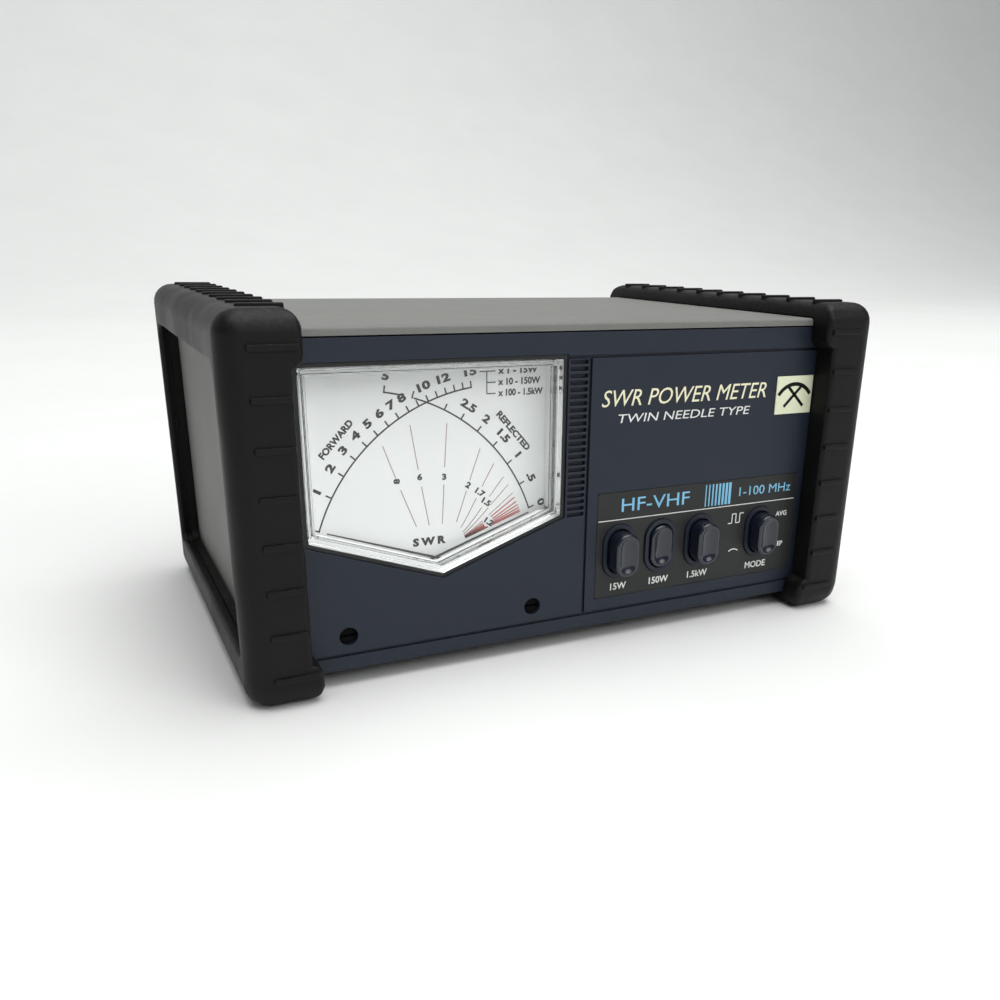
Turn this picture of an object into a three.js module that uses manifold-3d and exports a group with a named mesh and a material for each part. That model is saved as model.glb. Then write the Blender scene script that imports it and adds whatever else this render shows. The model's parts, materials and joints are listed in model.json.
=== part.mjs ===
// Bench SWR and power meter: a folded sheet-metal case held between two rubber bumpers, with a
// crossed-needle meter and four push switches in front and two coaxial sockets behind.
// Millimetres. X runs to the right along the front, Y to the back, Z up; Z = 0 is the resting plane.
// The pieces are drawn with Y = 0 on the bumpers' front faces and moved to the origin at the end.

import * as THREE from 'three';
import { mergeVertices } from 'three/addons/utils/BufferGeometryUtils.js';
import Module from 'manifold-3d';

const wasm = await Module();
wasm.setup();

// Case and bumpers
const caseWidth = 155;
const caseHeight = 75;
const caseDepth = 97;
const sheet = 1;              // sheet-metal thickness of cover and chassis
const coverHem = 1.8;           // front edge of the cover, seen above the bezel
const flangeHeight = 13;        // side flanges of the chassis that take the cover screws
const bumperWall = 5;           // rubber outside the case's sides
const bumperLip = 4;            // rubber over and under the case
const bumperNose = 6.5;         // rubber ahead of the panel and behind the rear wall
const lipReach = 11.3;          // how far the rubber wraps over the top, bottom and corners
const lipHold = 8.9;            // how far it wraps over the panel between the corners
const outerRound = 5;
const innerRound = 3.5;
const edgeRound = 2;
const windowBar = 7;            // rubber in front of and behind the side window
const windowRail = 10.5;        // rubber above and below the side window
const cutoutRail = 9.2;         // height of the corner gussets
const ribProud = 0.6;
const ribWidth = 1.4;
const frontRibs = 8;
const frontRibPitch = 9.83;
const topRibs = 10;
const topRibPitch = 10.3;
const ribInset = 5.4;           // outer end of each rib from the bumper's side
const fitGap = 0.3;             // between any two pieces that meet

// Front bezel
const bezelThick = 3;
const stripHeight = 5.2;        // plain strip above the upper groove
const lowerStrip = 4;           // plain strip below the lower groove
const grooveWidth = 0.7;
const grooveDepth = 0.8;
const ribbedWidth = 4.4;
const ribbedRecess = 1.1;
const ribbedCount = 24;
const ribbedGap = 0.8;

// Meter window, a pentagon with its point down
const glassWidth = 60.4;
const glassMargin = 11.1;       // window from the case's left side
const glassSide = 36.8;         // height of its straight sides
const glassPoint = 10.6;        // how far the point drops below them
const glassTopDrop = 0.7;       // below the upper groove
const glassToDivider = 6.5;     // window to the groove between meter half and control half
const glassWall = 1.5;
const glassDepth = 5;
const glassFit = 0.25;

// Meter: dial, housing, two moving-coil movements
const dialDepth = 9.5;          // dial face behind the panel's front
const dialThick = 0.8;
const dialBelowPivot = 7.9;     // lower edge of the dial below the pivots
const dialCutout = 6.2;         // round clearance in the dial at each pivot
const housingWall = 1.5;
const housingBackGap = 0.5;     // behind the bearing bridges
const housingBelowPivot = 13.3; // underside of the housing below the pivots
const pivotSpread = 16.6;       // each pivot from the meter's centre line
const pivotDrop = 3.7;          // pivots below the window's point
const needleLength = 43.5;
const needleThick = 0.4;
const needleRest = 19;          // degrees above the horizontal with no power
const forwardNeedleGap = 1.4;   // needle planes in front of the dial
const reflectedNeedleGap = 2.4;
const hubRadius = 1.8;
const tailLength = 6.5;
const staffRadius = 0.5;
const bearingRadius = 0.56;
const coreRadius = 4.2;
const coilInner = 4.9;
const coilWire = 1.1;
const coilBreadth = 3;
const magnetInner = 6.6;
const magnetOuter = 9;
const magnetLength = 8.8;
const bridgeThick = 1.1;
const bridgeHalf = 2.6;
const adjusterSpread = 22.8;
const adjusterBelowPivot = 7.9; // zero adjusters below the pivots
const adjusterRadius = 1.9;
const runningGap = 0.2;

// Control half: label, emblem, four push buttons
const labelHeight = 27.4;
const labelThick = 0.4;
const labelRecess = 0.5;
const labelFromDivider = 3.6;
const labelMargin = 10.5;       // label from the case's right side
const labelFoot = 11.1;
const emblemWidth = 12;
const emblemHeight = 9.8;
const emblemThick = 0.3;
const emblemEdge = 2.3;         // emblem from the right end of the visible panel
const emblemDrop = 7.1;         // emblem below the upper groove
const buttonWidth = 6.7;
const buttonHeight = 11.2;
const buttonOut = 4.7;          // how far a released button stands ahead of the panel
const buttonTravel = 3.4;
const buttonBody = 6.8;
const buttonPitch = 12.3;
const firstButton = 10.3;       // first button from the divider
const modeButtonEdge = 13.5;    // mode button from the right end of the visible panel
const buttonLine = 23.1;        // height of the buttons' centres
const collarRim = 1.1;
const collarProud = 0.5;
const stemSide = 4;
const stemLength = 15.9;
const switchWidth = 9.4;
const switchHeight = 14;
const switchLength = 17.5;
const boardThick = 1.6;
const boardTop = 46;

// Rear wall and coupler
const socketSpread = 28;
const socketHeight = 41;
const socketRadius = 7.9;
const socketBore = 6.1;
const socketLength = 15.7;      // barrel behind the rear wall
const socketFlange = 25.4;
const flangeThick = 2;
const flangeHoles = 9.1;
const insulatorLength = 10;
const contactRadius = 2.3;
const contactBore = 1.8;
const screwShank = 1.4;
const screwHead = 2.7;
const screwHeadHigh = 1.6;
const screwHole = 1.65;
const jackX = 52;
const jackHeight = 16;
const jackRadius = 4;
const boxHalf = 46;
const boxFloor = 22;
const boxHeight = 38;
const boxDepth = 34;
const boxWall = 1;
const lineRadius = 2;
const lineSetback = 14;         // straight line in front of the rear wall
const toroidRadius = 7;
const toroidWidth = 8;
const coverScrewHeight = 7;     // low enough for the rubber to cover the heads
const coverScrewInset = 24;
const screwPocket = 2.9;        // radius of the hollow in the rubber over each cover screw

// Places worked out from the sizes above
const panelY = bumperNose;
const bezelBack = panelY + bezelThick;
const rearY = panelY + caseDepth;
const bumperDepth = caseDepth + 2 * bumperNose;
const bumperHeight = caseHeight + 2 * bumperLip;
const caseTop = bumperLip + caseHeight;
const caseHalf = caseWidth / 2;
const bezelTop = caseTop - coverHem - fitGap;
const upperGroove = bezelTop - stripHeight;
const lowerGroove = bumperLip + lowerStrip;
const panelEdge = caseHalf - lipHold;
const glassLeft = glassMargin - caseHalf;
const glassRight = glassLeft + glassWidth;
const dividerX = glassRight + glassToDivider;
const glassTop = upperGroove - glassTopDrop;
const glassShoulder = glassTop - glassSide;
const glassTip = glassShoulder - glassPoint;
const meterX = (glassLeft + glassRight) / 2;
const pivotZ = glassTip - pivotDrop;
const adjusterHeight = pivotZ - adjusterBelowPivot;
const dialY = panelY + dialDepth;
const magnetY = dialY + dialThick + 3;
const ribbedRight = dividerX - 0.6;
const ribbedFoot = glassShoulder - 1;
const switchY = panelY - buttonOut + buttonTravel + buttonBody + fitGap;
const rearInner = rearY - sheet;

// Finishes
const finishes = {
  bumperRubber: [0x1c1c1c, 0.85, 0],
  coverPaint: [0x8f928c, 0.55, 0.2],
  chassisPaint: [0x3a3d40, 0.6, 0.2],
  bezelPlastic: [0x2f3846, 0.5, 0],
  labelFilm: [0x2b2d2a, 0.6, 0],
  emblemPlate: [0xd7dcc0, 0.5, 0],
  clearPlastic: [0xe8f0f2, 0.1, 0],
  housingPlastic: [0x17181a, 0.7, 0],
  dialCard: [0xf1f1ee, 0.8, 0],
  needlePaint: [0x101010, 0.5, 0.3],
  coilCopper: [0xa8642c, 0.4, 0.8],
  magnetSteel: [0x77797c, 0.4, 0.9],
  bridgeBrass: [0xb59a55, 0.4, 0.9],
  buttonPlastic: [0x2b3342, 0.35, 0],
  switchPlastic: [0x24282c, 0.6, 0],
  boardLaminate: [0x3f5d3a, 0.6, 0],
  plated: [0xb9bbbd, 0.3, 0.95],
  insulatorWhite: [0xe6e4dc, 0.6, 0],
  contactBrass: [0xc2a45c, 0.3, 0.9],
  ferrite: [0x2d2a2b, 0.7, 0.1],
  lampGlass: [0xfff3cf, 0.2, 0],
};

const instrument = new THREE.Group();

function finishOf(name) {
  const [color, roughness, metalness] = finishes[name];
  return new THREE.MeshStandardMaterial({ name, color, roughness, metalness });
}

function signedVolume(positions, index) {
  const a = new THREE.Vector3();
  const b = new THREE.Vector3();
  const c = new THREE.Vector3();
  let volume = 0;
  for (let i = 0; i < index.length; i += 3) {
    a.fromArray(positions, 3 * index[i]);
    b.fromArray(positions, 3 * index[i + 1]);
    c.fromArray(positions, 3 * index[i + 2]);
    volume += a.dot(b.cross(c)) / 6;
  }
  return volume;
}

// A closed three.js geometry as a solid that can be joined and cut
function solid(geometry) {
  const bare = geometry.clone();
  bare.deleteAttribute('normal');
  bare.deleteAttribute('uv');
  const merged = mergeVertices(bare, 1e-4);
  const positions = new Float32Array(merged.attributes.position.array);
  let faces = [];
  for (let i = 0; i < merged.index.count; i += 3) {
    const [p, q, r] = merged.index.array.slice(i, i + 3);
    if (p !== q && q !== r && r !== p) faces.push([p, q, r]);
  }
  if (signedVolume(positions, faces.flat()) < 0) faces = faces.map(([p, q, r]) => [p, r, q]);
  const mesh = new wasm.Mesh({
    numProp: 3,
    vertProperties: positions,
    triVerts: new Uint32Array(faces.flat()),
  });
  return new wasm.Manifold(mesh);
}

function geometryOf(piece) {
  const { vertProperties, triVerts } = piece.getMesh();
  const geometry = new THREE.BufferGeometry();
  geometry.setAttribute('position', new THREE.BufferAttribute(vertProperties, 3));
  geometry.setIndex(new THREE.BufferAttribute(triVerts, 1));
  geometry.computeVertexNormals();
  return geometry;
}

function place(name, finish, piece) {
  const mesh = new THREE.Mesh(geometryOf(piece), finishOf(finish));
  mesh.name = name;
  instrument.add(mesh);
}

function join(pieces) {
  return pieces.reduce((whole, piece) => whole.add(piece));
}

function cut(body, tools) {
  return tools.reduce((left, tool) => left.subtract(tool), body);
}

function mirrorX(piece) {
  return solid(geometryOf(piece).scale(-1, 1, 1));
}

function box(x0, x1, y0, y1, z0, z1) {
  const geometry = new THREE.BoxGeometry(x1 - x0, y1 - y0, z1 - z0);
  return solid(geometry.translate((x0 + x1) / 2, (y0 + y1) / 2, (z0 + z1) / 2));
}

// A rod along Y
function rod(radius, x, z, y0, y1, sides = 20) {
  const geometry = new THREE.CylinderGeometry(radius, radius, y1 - y0, sides);
  return solid(geometry.translate(x, (y0 + y1) / 2, z));
}

// A rod along X
function crossRod(radius, x0, x1, y, z, sides = 12) {
  const geometry = new THREE.CylinderGeometry(radius, radius, x1 - x0, sides);
  return solid(geometry.rotateZ(Math.PI / 2).translate((x0 + x1) / 2, y, z));
}

// A turned piece about Y; the profile is [radius, y] pairs
function turned(profile, x, z, sides = 24) {
  const points = profile.map(([radius, y]) => new THREE.Vector2(radius, y));
  return solid(new THREE.LatheGeometry(points, sides).translate(x, 0, z));
}

// A rectangle with its own radius at each corner: lower left, lower right, upper right, upper left
function roundedRect(x0, x1, y0, y1, radii) {
  const [ll, lr, ur, ul] = radii;
  const shape = new THREE.Shape();
  shape.moveTo(x0 + ll, y0);
  shape.lineTo(x1 - lr, y0);
  if (lr) shape.absarc(x1 - lr, y0 + lr, lr, -Math.PI / 2, 0);
  shape.lineTo(x1, y1 - ur);
  if (ur) shape.absarc(x1 - ur, y1 - ur, ur, 0, Math.PI / 2);
  shape.lineTo(x0 + ul, y1);
  if (ul) shape.absarc(x0 + ul, y1 - ul, ul, Math.PI / 2, Math.PI);
  shape.lineTo(x0, y0 + ll);
  if (ll) shape.absarc(x0 + ll, y0 + ll, ll, Math.PI, 1.5 * Math.PI);
  shape.closePath();
  return shape;
}

function outline(points) {
  return new THREE.Shape(points.map(([x, y]) => new THREE.Vector2(x, y)));
}

function extruded(shape, length, arcSteps) {
  return new THREE.ExtrudeGeometry(shape, { depth: length, bevelEnabled: false, curveSegments: arcSteps });
}

// Shapes drawn in front view (X, Z), side view (Y, Z) or plan (X, Y)
function fromFront(shape, y0, y1, arcSteps = 4) {
  const turn = new THREE.Matrix4().makeRotationX(Math.PI / 2);
  return solid(extruded(shape, y1 - y0, arcSteps).applyMatrix4(turn).translate(0, y1, 0));
}

function fromSide(shape, x0, x1, arcSteps = 4) {
  const axes = [new THREE.Vector3(0, 1, 0), new THREE.Vector3(0, 0, 1), new THREE.Vector3(1, 0, 0)];
  const turn = new THREE.Matrix4().makeBasis(...axes);
  return solid(extruded(shape, x1 - x0, arcSteps).applyMatrix4(turn).translate(x0, 0, 0));
}

function fromAbove(shape, z0, z1, arcSteps = 4) {
  return solid(extruded(shape, z1 - z0, arcSteps).translate(0, 0, z0));
}

function stadium(x, z, width, height, grow, y0, y1) {
  const half = width / 2 + grow;
  const tall = height / 2 + grow;
  const radii = [half, half, half, half];
  return fromFront(roundedRect(x - half, x + half, z - tall, z + tall, radii), y0, y1);
}

function buildBumper() {
  const inner = caseHalf - lipReach;
  const web = caseHalf + fitGap;
  const outer = caseHalf + bumperWall;
  const ribOuter = outer - ribInset;
  const frontView = [innerRound, outerRound, outerRound, innerRound];
  const plan = [edgeRound, outerRound, outerRound, edgeRound];
  const side = [outerRound, outerRound, outerRound, outerRound];
  const block = fromFront(roundedRect(inner, outer, 0, bumperHeight, frontView), 0, bumperDepth)
    .intersect(fromAbove(roundedRect(inner, outer, 0, bumperDepth, plan), 0, bumperHeight))
    .intersect(fromSide(roundedRect(0, bumperDepth, 0, bumperHeight, side), inner, outer));
  const pocketFront = bumperNose - fitGap;
  const pocketBack = bumperDepth - pocketFront;
  const pocketFoot = bumperLip - fitGap;
  const pocket = box(inner - 1, web, pocketFront, pocketBack, pocketFoot, bumperHeight - pocketFoot);
  const sideWindow = roundedRect(windowBar, bumperDepth - windowBar, windowRail,
    bumperHeight - windowRail, [3, 3, 3, 3]);
  const cutout = roundedRect(inner - 2, panelEdge, cutoutRail, upperGroove, [0, 3, 2, 0]);
  const pocketDepth = screwHeadHigh + 0.5;
  const headPockets = coverScrews().filter(({ side: edge }) => edge > 0).map(({ y }) => (
    crossRod(screwPocket, web - 1, caseHalf + pocketDepth, y, coverScrewHeight)
  ));
  const ribs = [];
  const firstFront = (bumperHeight - (frontRibs - 1) * frontRibPitch) / 2;
  for (let i = 0; i < frontRibs; i += 1) {
    const z = firstFront + i * frontRibPitch;
    const end = i === 0 || i === frontRibs - 1 ? inner + 1.2 : panelEdge + 0.4;
    ribs.push(box(end, ribOuter, -ribProud, 1, z - ribWidth / 2, z + ribWidth / 2));
    ribs.push(box(end, ribOuter, bumperDepth - 1, bumperDepth + ribProud,
      z - ribWidth / 2, z + ribWidth / 2));
  }
  const firstTop = (bumperDepth - (topRibs - 1) * topRibPitch) / 2;
  for (let i = 0; i < topRibs; i += 1) {
    const y = firstTop + i * topRibPitch;
    ribs.push(box(inner + innerRound / 2, ribOuter, y - ribWidth / 2, y + ribWidth / 2,
      bumperHeight - 1, bumperHeight + ribProud));
  }
  return join([cut(block, [
    pocket,
    ...headPockets,
    fromSide(sideWindow, web - 1, outer + 1, 3),
    fromFront(cutout, -1, bumperNose, 3),
    fromFront(cutout, bumperDepth - bumperNose, bumperDepth + 1, 3),
  ]), ...ribs]);
}

function buildCover() {
  const inner = caseHalf - sheet;
  const foot = bumperLip;
  const under = caseTop - sheet;
  const bent = outline([
    [-caseHalf, foot], [-inner, foot], [-inner, under], [inner, under],
    [inner, foot], [caseHalf, foot], [caseHalf, caseTop], [-caseHalf, caseTop],
  ]);
  const shell = fromFront(bent, bezelBack + fitGap, rearY);
  const nose = box(-caseHalf, caseHalf, panelY, bezelBack + 1, under, caseTop);
  const hem = box(-caseHalf, caseHalf, panelY, panelY + sheet, caseTop - coverHem, caseTop - 0.2);
  const holes = coverScrews().map(({ y, side }) => {
    const from = side * (caseHalf - sheet / 2);
    return crossRod(screwHole, from - sheet, from + sheet, y, coverScrewHeight);
  });
  return cut(join([shell, nose, hem]), holes);
}

function coverScrews() {
  const places = [];
  for (const [sideName, side] of [['left', -1], ['right', 1]]) {
    places.push({ name: `cover_screw_${sideName}_front`, side, y: panelY + coverScrewInset });
    places.push({ name: `cover_screw_${sideName}_rear`, side, y: rearY - coverScrewInset });
  }
  return places;
}

function buildChassis() {
  const half = caseHalf - sheet - fitGap;
  const front = bezelBack + fitGap;
  const bent = outline([
    [front, bumperLip], [rearY, bumperLip], [rearY, caseTop - sheet - fitGap],
    [rearInner, caseTop - sheet - fitGap], [rearInner, bumperLip + sheet], [front, bumperLip + sheet],
  ]);
  const flanges = [-1, 1].map((side) => {
    const xs = [side * half, side * (half - sheet)].sort((a, b) => a - b);
    return box(xs[0], xs[1], front, rearY - 0.5, bumperLip + 0.2, bumperLip + flangeHeight);
  });
  const holes = coverScrews().map(({ y, side }) => {
    const from = side * (half - sheet / 2);
    return crossRod(screwHole, from - sheet, from + sheet, y, coverScrewHeight);
  });
  for (const side of [-1, 1]) {
    const x = side * socketSpread;
    holes.push(rod(socketRadius + fitGap, x, socketHeight, rearInner - 1, rearY + 1, 24));
    for (const [dx, dz] of flangeCorners()) {
      holes.push(rod(screwHole, x + dx, socketHeight + dz, rearInner - 1, rearY + 1, 10));
    }
  }
  holes.push(rod(jackRadius + fitGap, jackX, jackHeight, rearInner - 1, rearY + 1, 16));
  return cut(join([fromSide(bent, -half, half), ...flanges]), holes);
}

function flangeCorners() {
  return [[-1, -1], [1, -1], [1, 1], [-1, 1]].map(([a, b]) => [a * flangeHoles, b * flangeHoles]);
}

// The window's outline, grown or shrunk by the same amount all round
function glassOutline(grow) {
  const slope = glassPoint / (glassWidth / 2);
  const lift = grow * Math.hypot(1, slope);
  const side = glassWidth / 2 + grow;
  const shoulder = glassTip + side * slope - lift;
  return outline([
    [meterX, glassTip - lift], [meterX + side, shoulder], [meterX + side, glassTop + grow],
    [meterX - side, glassTop + grow], [meterX - side, shoulder],
  ]);
}

function buttonPlaces() {
  const range = (n) => dividerX + firstButton + n * buttonPitch;
  return [
    { name: 'button_low_range', stem: 'switch_body_low_range', x: range(0), pressed: false },
    { name: 'button_mid_range', stem: 'switch_body_mid_range', x: range(1), pressed: true },
    { name: 'button_high_range', stem: 'switch_body_high_range', x: range(2), pressed: false },
    { name: 'button_mode', stem: 'switch_body_mode', x: panelEdge - modeButtonEdge, pressed: false },
  ];
}

function adjusterPlaces() {
  return [
    { name: 'zero_adjuster_reflected', x: meterX - adjusterSpread },
    { name: 'zero_adjuster_forward', x: meterX + adjusterSpread },
  ];
}

function labelPlace() {
  const x0 = dividerX + labelFromDivider;
  return { x0, x1: caseHalf - labelMargin, z0: labelFoot, z1: labelFoot + labelHeight };
}

function buildBezel() {
  const plate = box(-caseHalf, caseHalf, panelY, bezelBack, bumperLip, bezelTop);
  const floor = panelY + grooveDepth;
  const label = labelPlace();
  const cuts = [
    fromFront(glassOutline(glassFit), panelY - 1, bezelBack + 1),
    box(-caseHalf - 1, caseHalf + 1, panelY - 1, floor, upperGroove - grooveWidth, upperGroove),
    box(-caseHalf - 1, caseHalf + 1, panelY - 1, floor, lowerGroove - grooveWidth, lowerGroove),
    box(dividerX, dividerX + grooveWidth, panelY - 1, floor, lowerGroove - 0.1, upperGroove - 0.1),
    box(label.x0, label.x1, panelY - 1, panelY + labelRecess, label.z0, label.z1),
  ];
  for (const { x } of adjusterPlaces()) {
    cuts.push(rod(adjusterRadius + runningGap, x, adjusterHeight, panelY - 1, bezelBack + 1, 16));
  }
  const pitch = (upperGroove - grooveWidth - ribbedFoot) / ribbedCount;
  for (let i = 0; i < ribbedCount; i += 1) {
    const z = ribbedFoot + (i + 0.5) * pitch;
    cuts.push(box(ribbedRight - ribbedWidth, ribbedRight, panelY - 1, panelY + ribbedRecess,
      z - ribbedGap / 2, z + ribbedGap / 2));
  }
  const collars = buttonPlaces().map(({ x }) => stadium(x, buttonLine, buttonWidth, buttonHeight,
    fitGap + collarRim, panelY - collarProud, panelY + labelRecess + 0.2));
  const bores = buttonPlaces().map(({ x }) => stadium(x, buttonLine, buttonWidth, buttonHeight,
    fitGap, panelY - 2, bezelBack + 1));
  return cut(join([cut(plate, cuts), ...collars]), bores);
}

function buildLabel() {
  const { x0, x1, z0, z1 } = labelPlace();
  const back = panelY + labelRecess - 0.05;
  const sheetSolid = box(x0 + 0.1, x1 - 0.1, back - labelThick, back, z0 + 0.1, z1 - 0.1);
  return cut(sheetSolid, buttonPlaces().map(({ x }) => stadium(x, buttonLine, buttonWidth,
    buttonHeight, fitGap + collarRim + 0.15, panelY - 1, panelY + 1)));
}

function buildEmblem() {
  const right = panelEdge + 2 - emblemEdge;
  const top = upperGroove - emblemDrop;
  return box(right - emblemWidth, right, panelY - 0.05 - emblemThick, panelY - 0.05,
    top - emblemHeight, top);
}

function buildWindow() {
  const body = fromFront(glassOutline(0), panelY, panelY + glassDepth);
  return body.subtract(fromFront(glassOutline(-glassWall), panelY + glassWall, panelY + glassDepth + 1));
}

function housingSpan() {
  const margin = glassFit + housingWall + 0.5;
  return { x0: glassLeft - margin, x1: glassRight + margin, z0: pivotZ - housingBelowPivot, z1: glassTop + margin };
}

function buildHousing() {
  const { x0, x1, z0, z1 } = housingSpan();
  const front = bezelBack + fitGap;
  const w = housingWall;
  const back = bridgeReach().backY + housingBackGap + w;
  const shell = box(x0, x1, front, back, z0, z1)
    .subtract(box(x0 + w, x1 - w, front - 1, back - w, z0 + w, z1 - w));
  const ledgeY = dialY + dialThick + 0.1;
  const ledges = [[x0 + 0.5, x0 + w + 2], [x1 - w - 2, x1 - 0.5]].map(([a, b]) =>
    box(a, b, ledgeY, ledgeY + 2, pivotZ + 14, z1 - 0.5));
  return join([shell, ...ledges]);
}

function buildDial() {
  const { x0, x1, z1 } = housingSpan();
  const gap = housingWall + fitGap;
  const card = box(x0 + gap, x1 - gap, dialY, dialY + dialThick, pivotZ - dialBelowPivot, z1 - gap);
  return cut(card, [-1, 1].map((side) => rod(dialCutout, meterX + side * pivotSpread, pivotZ,
    dialY - 1, dialY + 2, 28)));
}

// Flat radial bar through (x, z) at an angle from +X in the front view
function radialBar(x, z, angle, r0, r1, y0, y1, breadth) {
  const geometry = new THREE.BoxGeometry(r1 - r0, y1 - y0, breadth);
  geometry.translate((r0 + r1) / 2, 0, 0).rotateY(-angle);
  return solid(geometry.translate(x, (y0 + y1) / 2, z));
}

function buildMagnet(x, webAngle) {
  const y1 = magnetY + magnetLength;
  const ring = [[magnetInner, magnetY], [magnetOuter, magnetY], [magnetOuter, y1],
    [magnetInner, y1], [magnetInner, magnetY]];
  const reach = magnetInner + 0.4;
  const web = radialBar(x, pivotZ, webAngle, -reach, reach, magnetY + 0.4, y1 - 0.4, 2);
  return join([turned(ring, x, pivotZ, 28), rod(coreRadius, x, pivotZ, magnetY, y1, 20), web]);
}

function buildCoil(x, coilAngle, needleY) {
  const outer = coilInner + coilWire;
  const front = magnetY - 0.5 - coilWire;
  const back = magnetY + magnetLength + 0.5 + coilWire;
  const loop = radialBar(x, pivotZ, coilAngle, -outer, outer, front, back, coilBreadth)
    .subtract(radialBar(x, pivotZ, coilAngle, -coilInner, coilInner, front + coilWire,
      back - coilWire, coilBreadth + 2));
  const { frontY, backY } = bridgeReach();
  return join([
    loop,
    rod(staffRadius, x, pivotZ, frontY + 0.2, front + 0.3, 12),
    rod(staffRadius, x, pivotZ, back - 0.3, backY - 0.2, 12),
    rod(staffRadius + 0.5, x, pivotZ, needleY + needleThick + 0.35, front + 0.2, 12),
  ]);
}

function bridgeReach() {
  const frontY = dialY - reflectedNeedleGap - 1.6 - bridgeThick;
  const backY = magnetY + magnetLength + 0.5 + coilWire + 0.5 + bridgeThick;
  return { frontY, backY };
}

function buildBridge(x) {
  const { frontY, backY } = bridgeReach();
  const foot = pivotZ - magnetOuter - fitGap - bridgeThick;
  const high = pivotZ + bridgeHalf;
  const bent = outline([
    [frontY, foot], [backY, foot], [backY, high], [backY - bridgeThick, high],
    [backY - bridgeThick, foot + bridgeThick], [frontY + bridgeThick, foot + bridgeThick],
    [frontY + bridgeThick, high], [frontY, high],
  ]);
  return fromSide(bent, x - bridgeHalf, x + bridgeHalf)
    .subtract(rod(bearingRadius, x, pivotZ, frontY - 1, backY + 1, 16));
}

function buildNeedle(x, angle, needleY) {
  const y0 = needleY;
  const y1 = needleY + needleThick;
  const pointer = radialBar(x, pivotZ, angle, hubRadius - 0.4, needleLength, y0, y1, 0.6);
  const root = radialBar(x, pivotZ, angle, hubRadius - 0.4, needleLength * 0.3, y0, y1, 1.1);
  const tail = radialBar(x, pivotZ, angle, -tailLength, 0.4 - hubRadius, y0, y1, 1);
  const weight = radialBar(x, pivotZ, angle, -tailLength, -tailLength + 2, y0, y1, 2.4);
  const hub = rod(hubRadius, x, pivotZ, y0 - 0.1, y1 + 0.1, 20);
  return join([hub, pointer, root, tail, weight])
    .subtract(rod(staffRadius + 0.05, x, pivotZ, y0 - 1, y1 + 1, 12));
}

function buildMovements() {
  const rest = THREE.MathUtils.degToRad(needleRest);
  const quarter = Math.PI / 2;
  const webTurn = THREE.MathUtils.degToRad(34);
  for (const [word, side, gap] of [['forward', 1, forwardNeedleGap], ['reflected', -1, reflectedNeedleGap]]) {
    const x = meterX + side * pivotSpread;
    const angle = side > 0 ? Math.PI - rest : rest;
    const needleY = dialY - gap - needleThick;
    place(`needle_${word}`, 'needlePaint', buildNeedle(x, angle, needleY));
    place(`moving_coil_${word}`, 'coilCopper', buildCoil(x, angle + quarter, needleY));
    place(`magnet_${word}`, 'magnetSteel', buildMagnet(x, angle - side * webTurn));
    place(`bearing_bridge_${word}`, 'bridgeBrass', buildBridge(x));
  }
}

function buildAdjuster(x) {
  const head = panelY + 0.9;
  const collar = bezelBack + runningGap;
  const profile = [[0, head], [adjusterRadius, head], [adjusterRadius, collar],
    [adjusterRadius + 0.9, collar], [adjusterRadius + 0.9, collar + 0.8], [0, collar + 0.8]];
  const slot = box(x - adjusterRadius - 1, x + adjusterRadius + 1, head - 1, head + 0.7,
    adjusterHeight - 0.35, adjusterHeight + 0.35);
  const crank = rod(0.5, x, adjusterHeight - 1.2, collar + 0.6, collar + 2, 10);
  return join([turned(profile, x, adjusterHeight, 20).subtract(slot), crank]);
}

function buildButton({ x, pressed }) {
  const face = panelY - buttonOut + (pressed ? buttonTravel : 0);
  const back = face + buttonBody;
  const cap = stadium(x, buttonLine, buttonWidth, buttonHeight, 0, face + 0.5, back);
  const crown = stadium(x, buttonLine, buttonWidth, buttonHeight, -0.5, face, face + 1);
  const dish = stadium(x, buttonLine, buttonWidth, buttonHeight, -1.4, face - 1, face + 0.4);
  const half = stemSide / 2;
  const stem = box(x - half, x + half, back - 0.5, back + stemLength,
    buttonLine - half, buttonLine + half);
  return join([cap, crown, stem]).subtract(dish);
}

function buildSwitchBody({ x }) {
  const halfWide = switchWidth / 2;
  const halfTall = switchHeight / 2;
  const bore = stemSide / 2 + fitGap;
  return box(x - halfWide, x + halfWide, switchY, switchY + switchLength,
    buttonLine - halfTall, buttonLine + halfTall)
    .subtract(box(x - bore, x + bore, switchY - 1, switchY + switchLength - 1,
      buttonLine - bore, buttonLine + bore));
}

function buildBracket() {
  const places = buttonPlaces();
  const x0 = places[0].x - switchWidth / 2 - 3;
  const x1 = places[3].x + switchWidth / 2 + 3;
  const y0 = switchY - fitGap - sheet;
  const strip = box(x0, x1, y0, y0 + sheet, buttonLine - 11, buttonLine + 11);
  return cut(strip, places.map(({ x }) => stadium(x, buttonLine, buttonWidth, buttonHeight,
    fitGap + 0.3, y0 - 1, y0 + 3)));
}

function buildBoard() {
  const places = buttonPlaces();
  const y0 = switchY + switchLength + fitGap;
  return box(places[0].x - 8, places[3].x + 9, y0, y0 + boardThick, bumperLip + 4, boardTop);
}

function buildSocket(side) {
  const x = side * socketSpread;
  const z = socketHeight;
  const half = socketFlange / 2;
  const flangeY = rearY + 0.1;
  const end = rearY + socketLength;
  const flange = box(x - half, x + half, flangeY, flangeY + flangeThick, z - half, z + half);
  const barrel = rod(socketRadius, x, z, rearInner - 2, end, 24);
  const bores = flangeCorners().map(([dx, dz]) => rod(screwHole, x + dx, z + dz, rearY - 2, rearY + 4, 10));
  return cut(flange.add(barrel), [rod(socketBore, x, z, rearInner - 3, end + 1, 24), ...bores]);
}

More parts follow.
